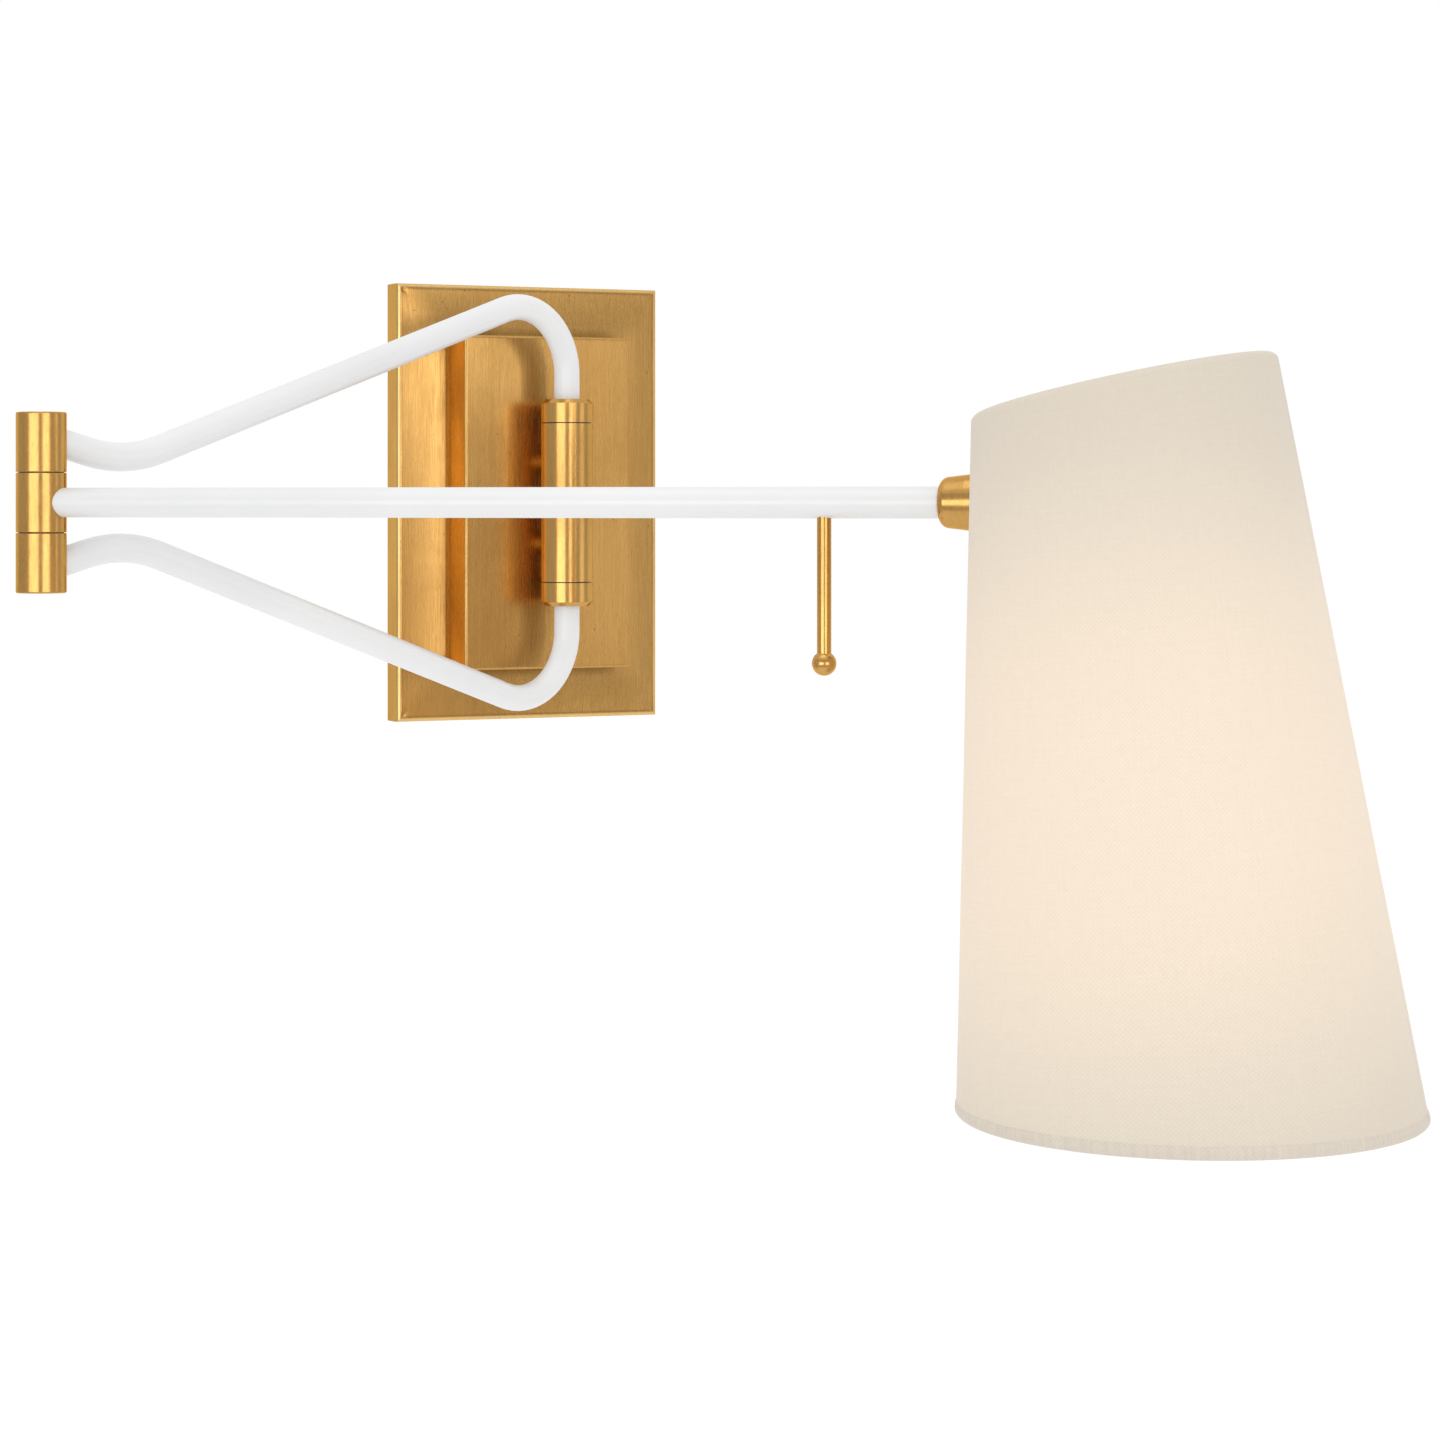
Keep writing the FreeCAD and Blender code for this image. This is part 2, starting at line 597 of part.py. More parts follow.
def return_spring():
    """An open coil round the rod, between the tube's floor and the collar."""
    height = ROD_COLLAR_Z - SPRING_WIRE / 2 - SPRING_LOW
    steps = int(SPRING_TURNS * 16)
    places = []
    for i in range(steps + 1):
        turn = 2 * math.pi * i / 16
        places.append(Vector(ROD_X + SPRING_MEAN_R * math.cos(turn), SPRING_MEAN_R * math.sin(turn),
                             SPRING_LOW + height * i / steps))
    curve = Part.BSplineCurve()
    curve.interpolate(places)
    ring = Part.Wire(Part.makeCircle(SPRING_WIRE / 2, places[0], curve.tangent(curve.FirstParameter)[0]))
    return Part.Wire(curve.toShape()).makePipeShell([ring], True, True)


# ---- shade ------------------------------------------------------------------------------------------
def cone(inset):
    """The shade's cone, drawn in by inset, longer than the shade at both ends."""
    above = 90.0
    below = 240.0
    radius = SHADE_R - inset / math.cos(math.radians(SHADE_FLARE))
    start = SHADE_HEART.sub(Vector(SHADE_DOWN).multiply(above))
    return Part.makeCone(radius - above * FLARE, radius + below * FLARE, above + below, start, SHADE_DOWN)


def under_top(drop):
    """Everything below the top rim's plane, lowered by drop."""
    big = Part.makeBox(400, 400, 400, Vector(-200, -200, -400))
    point = TOP_POINT.sub(Vector(TOP_NORMAL).multiply(drop))
    big.Placement = Placement(point, Rotation(Z_AXIS, TOP_NORMAL))
    return big


def over_bottom(lift):
    """Everything above the bottom rim's plane, raised by lift."""
    return block(Vector(150, -200, SHADE_BOTTOM + lift), Vector(600, 200, 200))


def shell(outer, inner, drop, lift):
    """A layer of the shade between two insets, cut by the two rim planes."""
    layer = cone(outer).cut(cone(inner))
    return layer.common(under_top(drop)).common(over_bottom(lift))


def side_hole(radius):
    return arm_bar(radius, SHADE_X - 70, SHADE_X)


def shade_fabric():
    return shell(0, FABRIC_T, 0, 0).cut(side_hole(STEM_R + 0.3))


def shade_liner():
    return shell(FABRIC_T, WALL_T, 0, 0).cut(side_hole(STEM_R + 0.3))


def bottom_hem():
    """A strip folded over the bottom rim."""
    wall = shell(0, WALL_T, 0, 0)
    return shell(-HEM_T, WALL_T + HEM_T, 0, -HEM_T).cut(over_bottom(BOTTOM_HEM)).cut(wall)


def top_hem():
    """A narrow strip folded over the top rim."""
    wall = shell(0, WALL_T, 0, 0)
    return shell(-TOP_HEM_T, WALL_T + HEM_T, -HEM_T, 0).cut(under_top(TOP_HEM)).cut(wall)


def rim_point(angle, inset, normal, point):
    """The point of the cone, drawn in by inset, at one angle round its axis and on a plane."""
    turn = math.radians(angle)
    out = Vector(SHADE_SIDE).multiply(math.cos(turn)).add(Vector(Y_AXIS).multiply(math.sin(turn)))
    radius = SHADE_R - inset / math.cos(math.radians(SHADE_FLARE))
    slope = normal.dot(out)
    along = -(normal.dot(SHADE_HEART.sub(point)) + radius * slope) / (normal.dot(SHADE_DOWN) + FLARE * slope)
    reach = Vector(out).multiply(radius + FLARE * along)
    return SHADE_HEART.add(Vector(SHADE_DOWN).multiply(along)).add(reach)


def rim_ring(normal, point):
    """A closed round wire just inside the shade's wall, in the given plane."""
    places = [rim_point(angle, RING_INSET, normal, point) for angle in range(0, 360, 15)]
    curve = Part.BSplineCurve()
    curve.interpolate(Points=places, PeriodicFlag=True)
    path = Part.Wire(curve.toShape())
    start = curve.value(curve.FirstParameter)
    along = curve.tangent(curve.FirstParameter)[0]
    ring = Part.Wire(Part.makeCircle(RING_WIRE_R, start, along))
    return path.makePipeShell([ring], True, True)


def top_ring():
    return rim_ring(TOP_NORMAL, TOP_RING_POINT)


def bottom_ring():
    return rim_ring(Z_AXIS, BOTTOM_RING_POINT)


def shade_fitter():
    """A flat ring on the socket's flange with three wires that climb to the top ring."""
    fitter = upright(FITTER_R, SOCKET_R, FLANGE_Z - FITTER_T, FLANGE_Z, x=HEAD_X)
    ring = top_ring()
    reach = FITTER_R - 0.8
    for angle in FITTER_ARMS:
        turn = math.radians(angle)
        foot = Vector(HEAD_X + reach * math.cos(turn), reach * math.sin(turn), FLANGE_Z - FITTER_T / 2)
        head = rim_point(angle, RING_INSET, TOP_NORMAL, TOP_RING_POINT)
        fitter = fitter.fuse(rod(1.1, foot, head))
    return fitter.cut(ring)


# ---- head -------------------------------------------------------------------------------------------
def swivel_cup():
    """A turned cup round the tube's end, saddled to the shade's side."""
    nose = CUP_R - CUP_ROUND
    arc = [(nose + CUP_ROUND * math.sin(math.radians(a)), CUP_ROUND - CUP_ROUND * math.cos(math.radians(a)))
           for a in range(0, 91, 15)]
    profile = [(0, 0)] + arc + [(CUP_MOUTH_R, 9.0), (CUP_MOUTH_R, 13.0), (0, 13.0)]
    cup = turned(profile, Vector(CUP_START, 0, 0), X_AXIS)
    cup = cup.cut(arm_bar(TUBE_R + RUN_FIT, CUP_START - 1, CUP_FLOOR))
    cup = cup.cut(arm_bar(STEM_R, CUP_FLOOR, CUP_START + 14))
    return cup.cut(cone(0))


def swivel_stem():
    """A stepped hollow shaft: the journal turns in the arm's bush and the rest carries the head."""
    stem = arm_bar(JOURNAL_R, JOURNAL_START, CUP_FLOOR).fuse(arm_bar(STEM_R, CUP_FLOOR, STEM_END))
    groove = pipe(JOURNAL_R, JOURNAL_R - CLIP_GROOVE, Vector(CLIP_X, 0, 0), Vector(CLIP_X + CLIP_T, 0, 0))
    return stem.cut(arm_bar(STEM_BORE, JOURNAL_START, STEM_END)).cut(groove)


def stem_clip():
    inner_r = JOURNAL_R - CLIP_GROOVE
    clip = pipe(JOURNAL_R + 0.8, inner_r, Vector(CLIP_X, 0, 0), Vector(CLIP_X + CLIP_T, 0, 0))
    return clip.cut(block(Vector(CLIP_X, -1.6, 0), Vector(CLIP_X + 1, 1.6, 6)))


def friction_washer():
    return pipe(JOURNAL_R + 0.8, JOURNAL_R, Vector(CLIP_X + CLIP_T, 0, 0), Vector(BUSH_X - FACE_GAP, 0, 0))


def saddle_washer():
    """A washer whose back follows the inside of the shade."""
    washer = pipe(9.5, STEM_R, Vector(SHADE_X - 60, 0, 0), Vector(SADDLE_END, 0, 0))
    return washer.common(cone(WALL_T))


def stem_locknut():
    nut = hexagon(13.0, 4.0, Vector(SADDLE_END, 0, 0), X_AXIS)
    return nut.cut(arm_bar(STEM_R, SADDLE_END, SADDLE_END + 4))


def socket_elbow():
    half = ELBOW_BLOCK / 2
    cube = block(Vector(HEAD_X - half, -half, -half), Vector(HEAD_X + half, half, half))
    cube = round_edges(cube, 1.2, lambda edge: True)
    cube = cube.cut(arm_bar(STEM_R, HEAD_X - half - 1, STEM_END))
    cube = cube.cut(arm_bar(STEM_BORE, STEM_END - 1, HEAD_X + 2))
    cube = cube.cut(rod(NIPPLE_R, Vector(HEAD_X, 0, -half - 1), Vector(HEAD_X, 0, NIPPLE_TOP)))
    return cube.cut(rod(NIPPLE_BORE, Vector(HEAD_X, 0, NIPPLE_TOP - 1), Vector(HEAD_X, 0, 1)))


def socket_nipple():
    return upright(NIPPLE_R, NIPPLE_BORE, SOCKET_TOP, NIPPLE_TOP, x=HEAD_X)


def socket_cap():
    """The metal cap that carries the socket, screwed to the nipple."""
    top = -ELBOW_BLOCK / 2 - 0.2
    profile = [(NIPPLE_R, top), (8.0, top), (CAP_R - 3, -14.5), (CAP_R, -18), (CAP_R, -26),
               (SOCKET_R, -26), (SOCKET_R, SOCKET_TOP + 1.2), (CAP_R - 4, -16.2), (NIPPLE_R, -11.5)]
    return turned(profile, Vector(HEAD_X, 0, 0), Z_AXIS)


def socket_shell():
    """The insulating sleeve with a flange that the shade's fitter rests under."""
    wall = 1.5
    profile = [(SOCKET_R - wall, -24), (SOCKET_R, -24), (SOCKET_R, FLANGE_Z + 2),
               (SOCKET_R + 1.9, FLANGE_Z + 2), (SOCKET_R + 1.9, FLANGE_Z), (SOCKET_R, FLANGE_Z),
               (SOCKET_R, SOCKET_END),
               (SOCKET_R - wall, SOCKET_END)]
    return turned(profile, Vector(HEAD_X, 0, 0), Z_AXIS)


def socket_insulator():
    body = upright(SOCKET_R - 1.5, 1.5, -30, -26, x=HEAD_X)
    return body.cut(upright(3.5, 1.5, -30, -29, x=HEAD_X))


def centre_contact():
    strip = Part.makeCylinder(3.5, 0.6, Vector(HEAD_X, 0, -30))
    rivet = Part.makeCylinder(1.5, 4.0, Vector(HEAD_X, 0, -30))
    return strip.fuse(rivet)


def screw_shell():
    return upright(SCREW_SHELL_R, BULB_BASE_R + 0.1, -53, -30, x=HEAD_X)


def retaining_ring():
    """The knurled ring that clamps the fitter against the socket's flange."""
    top = FLANGE_Z - FITTER_T
    ring = upright(FITTER_R, SOCKET_R, top - RETAINER_T, top, x=HEAD_X)
    for i in range(24):
        turn = math.radians(15 * i)
        x = HEAD_X + (FITTER_R + 0.4) * math.cos(turn)
        y = (FITTER_R + 0.4) * math.sin(turn)
        ring = ring.cut(Part.makeCylinder(0.9, RETAINER_T, Vector(x, y, top - RETAINER_T)))
    return ring


def bulb_base():
    profile = [(0, -30.6), (3.0, -30.6), (3.0, -31.6), (8.0, -33.5), (BULB_BASE_R, -35),
               (BULB_BASE_R, -57), (0, -57)]
    return turned(profile, Vector(HEAD_X, 0, 0), Z_AXIS)


def bulb_outline(inset):
    """Half outline of the glass: a neck that swells on a curve into a round end."""
    radius = BULB_R - inset
    neck = 14.0 - inset
    neck_top = -57.0
    points = [(neck, neck_top)]
    for i in range(1, 7):
        step = i / 6
        swell = (1 - math.cos(math.pi * step)) / 2
        points.append((neck + (radius - neck) * swell, neck_top + (BULB_MID - neck_top) * step))
    for a in range(15, 91, 15):
        turn = math.radians(a)
        points.append((radius * math.cos(turn), BULB_MID - radius * math.sin(turn)))
    return points


def bulb_glass():
    inner = bulb_outline(GLASS_T)
    inner.reverse()
    return turned(bulb_outline(0) + inner, Vector(HEAD_X, 0, 0), Z_AXIS)


# ---- wiring in the plate ----------------------------------------------------------------------------
def wire_nuts():
    """Three twist-on connectors in the block's hollow."""
    nuts = []
    for x, z in NUT_PLACES:
        cap = Part.makeCone(5.0, 3.2, 15, Vector(x, NUT_Y, z), Z_AXIS)
        nuts.append(cap.cut(Part.makeCylinder(3.0, 10, Vector(x, NUT_Y, z))))
    return group(nuts)


def lead(points):
    """A short insulated wire through a few points."""
    curve = Part.BSplineCurve()
    curve.interpolate(points)
    path = Part.Wire(curve.toShape())
    along = curve.tangent(curve.FirstParameter)[0]
    ring = Part.Wire(Part.makeCircle(LEAD_R, points[0], along))
    return path.makePipeShell([ring], True, True)


def lead_wires():
    """One wire from just behind the lower post to each connector, which it enters from below."""
    exit_y = -BLOCK_FRONT + STUD_LENGTH + LEAD_R
    wires = []
    for i, (x, z) in enumerate(NUT_PLACES):
        start = Vector((i - 1) * 2.5, exit_y, -POST_Z)
        bend = Vector(x * 0.55, exit_y + 3, (z - POST_Z) / 2 - 12)
        inside = [Vector(x, NUT_Y, z + rise) for rise in (-8, -1, 6)]
        wires.append(lead([start, bend] + inside))
    return group(wires)


# ---- the whole lamp ---------------------------------------------------------------------------------
def build():
    os.makedirs("parts", exist_ok=True)
    fixed = {
        "mounting_strap": mounting_strap(), "ground_screw": ground_screw(), "side_screws": side_screws(),
        "base_plate": base_plate(), "raised_block": raised_block(), "block_screws": block_screws(),
        "upper_post": post(POST_Z), "lower_post": post(-POST_Z), "post_washers": post_washers(),
        "post_nuts": post_nuts(), "pivot_sleeve": pivot_sleeve(), "wire_nuts": wire_nuts(),
        "lead_wires": lead_wires(),
    }
    collar = upper_collar()
    tube = upper_arm_tube()
    knuckle = upper_knuckle()
    inner = {
        "upper_collar": collar, "lower_collar": mirrored(collar),
        "collar_set_screws": set_screws(SET_SCREW_Z, SPINDLE_R, SLEEVE_R),
        "pivot_spindle": pivot_spindle(), "pivot_washers": pivot_washers(),
        "upper_arm_tube": tube, "lower_arm_tube": mirrored(tube),
        "upper_knuckle": knuckle, "lower_knuckle": mirrored(knuckle), "knuckle_pin": knuckle_pin(),
        "knuckle_plugs": knuckle_plugs(), "knuckle_washers": knuckle_washers(),
        "knuckle_set_screws": knuckle_set_screws(),
    }
    outer = {
        "middle_knuckle": middle_knuckle(), "outer_arm_tube": outer_arm_tube(), "switch_body": switch_body(),
        "end_bush": end_bush(), "return_spring": return_spring(), "pull_rod": pull_rod(),
        "pull_ball": pull_ball(), "rod_collar": rod_collar(), "swivel_cup": swivel_cup(),
        "swivel_stem": swivel_stem(), "stem_clip": stem_clip(), "friction_washer": friction_washer(),
        "saddle_washer": saddle_washer(), "stem_locknut": stem_locknut(), "socket_elbow": socket_elbow(),
        "socket_nipple": socket_nipple(), "socket_cap": socket_cap(), "socket_shell": socket_shell(),
        "socket_insulator": socket_insulator(), "centre_contact": centre_contact(),
        "screw_shell": screw_shell(), "retaining_ring": retaining_ring(), "shade_fitter": shade_fitter(),
        "top_ring": top_ring(), "bottom_ring": bottom_ring(), "shade_liner": shade_liner(),
        "shade_fabric": shade_fabric(), "top_hem": top_hem(), "bottom_hem": bottom_hem(),
        "bulb_base": bulb_base(), "bulb_glass": bulb_glass(),
    }
    for frame, pieces in ((HERE, fixed), (INNER_FRAME, inner), (OUTER_FRAME, outer)):
        for name, shape in pieces.items():
            save(name, shape, frame)


build()
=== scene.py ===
import json
import math

import bmesh
import bpy
from mathutils import Matrix, Vector, noise


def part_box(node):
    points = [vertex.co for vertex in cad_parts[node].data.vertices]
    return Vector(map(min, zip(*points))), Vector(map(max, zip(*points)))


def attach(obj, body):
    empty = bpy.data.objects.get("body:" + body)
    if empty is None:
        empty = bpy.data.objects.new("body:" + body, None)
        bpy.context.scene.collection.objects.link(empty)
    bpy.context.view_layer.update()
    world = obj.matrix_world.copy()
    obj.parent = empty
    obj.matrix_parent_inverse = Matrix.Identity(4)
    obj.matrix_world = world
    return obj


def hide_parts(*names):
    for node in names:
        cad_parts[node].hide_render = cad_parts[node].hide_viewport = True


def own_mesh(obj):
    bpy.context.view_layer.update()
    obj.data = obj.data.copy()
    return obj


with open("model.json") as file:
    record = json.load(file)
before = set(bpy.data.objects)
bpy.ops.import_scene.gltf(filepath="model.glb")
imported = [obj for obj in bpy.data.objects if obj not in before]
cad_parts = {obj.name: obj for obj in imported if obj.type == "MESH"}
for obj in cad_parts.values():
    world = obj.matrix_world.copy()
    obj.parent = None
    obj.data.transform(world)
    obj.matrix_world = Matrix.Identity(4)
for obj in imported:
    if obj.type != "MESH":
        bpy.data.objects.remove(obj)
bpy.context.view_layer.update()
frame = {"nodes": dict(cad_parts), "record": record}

NODES = frame["nodes"]
JOINTS = {joint["name"]: joint for joint in frame["record"]["behaviour"]["joints"]}
MM = 0.001


def mesh_object(name, points, faces, material=None):
    mesh = bpy.data.meshes.new(name)
    mesh.from_pydata(points, [], faces)
    if material:
        mesh.materials.append(material)
    thing = bpy.data.objects.new(name, mesh)
    bpy.context.scene.collection.objects.link(thing)
    return thing


def circle(radius, count):
    """Points round a circle, as pairs."""
    turns = (2 * math.pi * i / count for i in range(count))
    return [(radius * math.cos(turn), radius * math.sin(turn)) for turn in turns]


# ---------------------------------------------------------------- camera, stage and light

CAMERA_PLACE = Vector((-0.5068, -1.3199, 0.0))
CAMERA_TURN = math.radians(24.4)
CAMERA_LENS = 85.0
CAMERA_SENSOR = 36.0
CAMERA_SHIFT = -0.151
CAMERA_NEAR = 0.05
CAMERA_FAR = 200.0


def add_camera():
    data = bpy.data.cameras.new("camera")
    data.lens = CAMERA_LENS
    data.sensor_width = CAMERA_SENSOR
    data.shift_y = CAMERA_SHIFT
    data.clip_start = CAMERA_NEAR
    data.clip_end = CAMERA_FAR
    camera = bpy.data.objects.new("camera", data)
    camera.location = CAMERA_PLACE
    camera.rotation_euler = (math.pi / 2, 0.0, -CAMERA_TURN)
    bpy.context.scene.collection.objects.link(camera)
    bpy.context.scene.camera = camera


STAGE_Y = -0.2
STAGE_MIDDLE = Vector((0.0, STAGE_Y, 0.0))


def around(degrees, distance, height):
    """A place at that bearing from the line of sight, to its right if positive."""
    bearing = math.atan2(-math.cos(CAMERA_TURN), -math.sin(CAMERA_TURN)) + math.radians(degrees)
    return (distance * math.cos(bearing), distance * math.sin(bearing) + STAGE_Y, height)


def add_area(name, place, size, power, diffuse=True, glossy=True):
    """A softbox that faces the middle of the stage. diffuse and glossy say which rays see it."""
    data = bpy.data.lights.new(name, "AREA")
    data.shape = "RECTANGLE"
    data.size, data.size_y = size
    data.energy = power
    lamp = bpy.data.objects.new(name, data)
    lamp.location = place
    lamp.rotation_mode = "QUATERNION"
    lamp.rotation_quaternion = (STAGE_MIDDLE - Vector(place)).to_track_quat("-Z", "Y")
    lamp.visible_camera = False
    lamp.visible_diffuse = diffuse
    lamp.visible_glossy = glossy
    bpy.context.scene.collection.objects.link(lamp)


def plain(name, grey):
    """Matt grey paint or cloth."""
    material = bpy.data.materials.new(name)
    material.use_nodes = True
    shader = material.node_tree.nodes["Principled BSDF"]
    shader.inputs["Base Color"].default_value = (grey, grey, grey, 1.0)
    shader.inputs["Roughness"].default_value = 0.9
    return material


def stage_mesh(name, points, faces, material):
    thing = mesh_object(name, points, faces, material)
    return thing


FLOOR_Z = -2.1
FLOOR_R = 40.0
FLOOR_SIDES = 64
FLOOR_GREY = 0.95
FLOOR_LIFT = 0.09  # the floor's own glow, which makes it as white as the space behind it
CURTAIN_R = 3.3
CURTAIN_LOW = -2.0
CURTAIN_TOP = 2.4
CURTAIN_REACH = 112
CURTAIN_STEP = 8
CURTAIN_GREY = 0.60


def add_stage():
    rim = [(x, y, FLOOR_Z) for x, y in circle(FLOOR_R, FLOOR_SIDES)]
    paint = plain("floor_paint", FLOOR_GREY)
    floor_shader = paint.node_tree.nodes["Principled BSDF"]
    floor_shader.inputs["Emission Color"].default_value = (1.0, 1.0, 1.0, 1.0)
    floor_shader.inputs["Emission Strength"].default_value = FLOOR_LIFT
    stage_mesh("floor", rim, [tuple(range(FLOOR_SIDES))], paint)

    # A grey curtain round the camera's side, as in a studio. Only reflections see it.
    steps = range(-CURTAIN_REACH, CURTAIN_REACH + 1, CURTAIN_STEP)
    low = [around(d, CURTAIN_R, CURTAIN_LOW) for d in steps]
    high = [around(d, CURTAIN_R, CURTAIN_TOP) for d in steps]
    count = len(low)
    faces = [(i, i + 1, count + i + 1, count + i) for i in range(count - 1)]
    curtain = stage_mesh("curtain", low + high, faces, plain("curtain_cloth", CURTAIN_GREY))
    curtain.visible_camera = False
    curtain.visible_diffuse = False
    curtain.visible_shadow = False

    scene = bpy.context.scene
    scene.view_settings.view_transform = "Standard"
    scene.view_settings.look = "None"
    world = bpy.data.worlds.new("studio")
    world.use_nodes = True
    back = world.node_tree.nodes["Background"]
    back.inputs["Color"].default_value = (1.0, 1.0, 1.0, 1.0)
    back.inputs["Strength"].default_value = 1.0
    scene.world = world

    add_area("soft_right", around(28.5, 2.6, 0.0), (1.48, 0.95), 10.9, diffuse=False)
    add_area("soft_left", around(-27, 2.6, 0.0), (1.95, 0.95), 14.5, diffuse=False)
    add_area("far_right", around(77, 3.0, 0.0), (1.2, 1.6), 4.6, diffuse=False)
    add_area("fill", around(2, 2.6, 0.2), (2.0, 1.2), 9.5, glossy=False)
    add_area("soft_top", (-0.45, -0.6, 2.6), (2.0, 2.0), 10.5)


# ---------------------------------------------------------------- shader helpers

class Finish:
    """A node material, with short ways to add the nodes that its patterns need."""

    def __init__(self, name, **sockets):
        self.material = bpy.data.materials.new(name)
        self.material.use_nodes = True
        self.tree = self.material.node_tree
        self.shader = self.tree.nodes["Principled BSDF"]
        self.coords = self.tree.nodes.new("ShaderNodeTexCoord")
        for socket, value in sockets.items():
            self.shader.inputs[socket.replace("_", " ")].default_value = value

    def put(self, socket, value):
        """Sets an input to a number or colour, or joins an output to it."""
        if isinstance(value, bpy.types.NodeSocket):
            self.tree.links.new(value, socket)
        elif isinstance(value, tuple) and len(value) == 3 and socket.type == "RGBA":
            socket.default_value = (*value, 1.0)
        else:
            socket.default_value = value

    def shade(self, name, value):
        self.put(self.shader.inputs[name], value)

    def place(self, scale, source="Object"):
        """The object's or UV map's coordinates times scale, which is in noise cells per metre."""
        node = self.tree.nodes.new("ShaderNodeMapping")
        self.put(node.inputs["Vector"], self.coords.outputs[source])
        node.inputs["Scale"].default_value = scale
        return node.outputs["Vector"]

    def noise(self, vector, detail=3.0, rough=0.55, twist=0.0):
        node = self.tree.nodes.new("ShaderNodeTexNoise")
        self.put(node.inputs["Vector"], vector)
        node.inputs["Scale"].default_value = 1.0
        node.inputs["Detail"].default_value = detail
        node.inputs["Roughness"].default_value = rough
        node.inputs["Distortion"].default_value = twist
        return node.outputs["Fac"]

    def span(self, value, low, high, out_low=0.0, out_high=1.0):
        """Stretches low to high over out_low to out_high, and cuts off what lies outside."""
        node = self.tree.nodes.new("ShaderNodeMapRange")
        self.put(node.inputs["Value"], value)
        node.inputs["From Min"].default_value = low
        node.inputs["From Max"].default_value = high
        node.inputs["To Min"].default_value = out_low
        node.inputs["To Max"].default_value = out_high
        return node.outputs["Result"]

    def calc(self, a, b, how="ADD"):
        node = self.tree.nodes.new("ShaderNodeMath")
        node.operation = how
        self.put(node.inputs[0], a)
        self.put(node.inputs[1], b)
        return node.outputs["Value"]

    def blend(self, amount, a, b):
        """The colour a where amount is 0, and b where it is 1."""
        node = self.tree.nodes.new("ShaderNodeMix")
        node.data_type = "RGBA"
        self.put(node.inputs["Factor"], amount)
        self.put(node.inputs["A"], a)
        self.put(node.inputs["B"], b)
        return node.outputs["Result"]

    def mark(self, name):
        """A number that the mesh holds at each vertex, 0 where it has none."""
        node = self.tree.nodes.new("ShaderNodeAttribute")
        node.attribute_name = name
        return node.outputs["Fac"]

    def bump(self, height, distance, strength=1.0):
        node = self.tree.nodes.new("ShaderNodeBump")
        self.put(node.inputs["Height"], height)
        node.inputs["Distance"].default_value = distance
        node.inputs["Strength"].default_value = strength
        self.shade("Normal", node.outputs["Normal"])


# ---------------------------------------------------------------- materials

BRASS_LIGHT = (0.60, 0.349, 0.111)
BRASS_DARK = (0.36, 0.175, 0.042)
BRASS_SHEEN = (1.0, 0.80, 0.50, 1.0)
WORN_AND_HIGHLIT = (0.86, 0.62, 0.27)
GRIME_AND_SHADE = (0.16, 0.075, 0.018)
PIT = (0.12, 0.06, 0.025)
PLATE_GRAIN = (900, 900, 26)
TURNED_GRAIN = (700, 700, 60)


def brass(name, grain, patina, light=BRASS_LIGHT, dark=BRASS_DARK, rough=0.25, pits=0.6,
          brush=0.25):
    """Brushed brass under a thin antique patina.

    grain is the noise scale along X, Y and Z, patina how dark the blotches are, pits how dark the
    specks are, and brush how deep the brush marks are.
    """
    f = Finish(name, Metallic=1.0)
    f.shader.inputs["Specular Tint"].default_value = BRASS_SHEEN
    clouds = f.noise(f.place((34, 34, 22)), detail=6, rough=0.62, twist=0.4)
    broad = f.noise(f.place((9, 9, 7)), detail=3)
    streaks = f.noise(f.place(grain), detail=4, rough=0.7)
    fine = f.noise(f.place(tuple(3.1 * g for g in grain)), detail=2)
    blotches = f.span(clouds, 0.36, 0.68, 0.0, 0.50 * patina)
    tone = f.calc(blotches, f.span(streaks, 0.3, 0.75, 0.0, 0.26))
    tone = f.calc(tone, f.span(broad, 0.4, 0.7, 0.0, 0.22 * patina))
    colour = f.blend(tone, light, dark)
    # The plate's rounded edges are rubbed to lighter brass, and this also paints a highlight along
    # them.
    wear_and_highlight = f.calc(f.mark("edge_wear_and_highlight"), f.span(streaks, 0.3, 0.7, 0.35, 0.8), "MULTIPLY")
    colour = f.blend(wear_and_highlight, colour, WORN_AND_HIGHLIT)
    # Darker near the block's foot and along the edge's crease: grime, and painted shade in these
    # corners.
    grime_and_shade_mix = f.calc(f.mark("grime_and_shade"), f.span(clouds, 0.3, 0.7, 0.5, 1.0), "MULTIPLY")
    colour = f.blend(grime_and_shade_mix, colour, GRIME_AND_SHADE)
    specks = f.span(f.noise(f.place((520, 520, 520)), detail=1), 0.765, 0.80, 0.0, pits)
    colour = f.blend(specks, colour, PIT)
    f.shade("Base Color", colour)
    f.shade("Roughness", f.span(f.calc(clouds, fine), 0.7, 1.3, rough - 0.05, rough + 0.10))
    f.bump(f.calc(streaks, fine), 0.00003, brush)
    return f.material


def enamel():
    """Satin white enamel over steel tube, with a faint orange-peel skin."""
    f = Finish("white_enamel", Coat_Weight=0.25, Coat_Roughness=0.2)
    soft = f.span(f.noise(f.place((14, 14, 14)), detail=3), 0.35, 0.7)
    f.shade("Base Color", f.blend(soft, (0.745, 0.745, 0.748), (0.70, 0.703, 0.71)))
    peel = f.noise(f.place((900, 900, 900)), detail=2)
    f.shade("Roughness", f.span(f.noise(f.place((60, 60, 60))), 0.3, 0.7, 0.30, 0.44))
    f.bump(peel, 0.00002, 0.3)
    return f.material


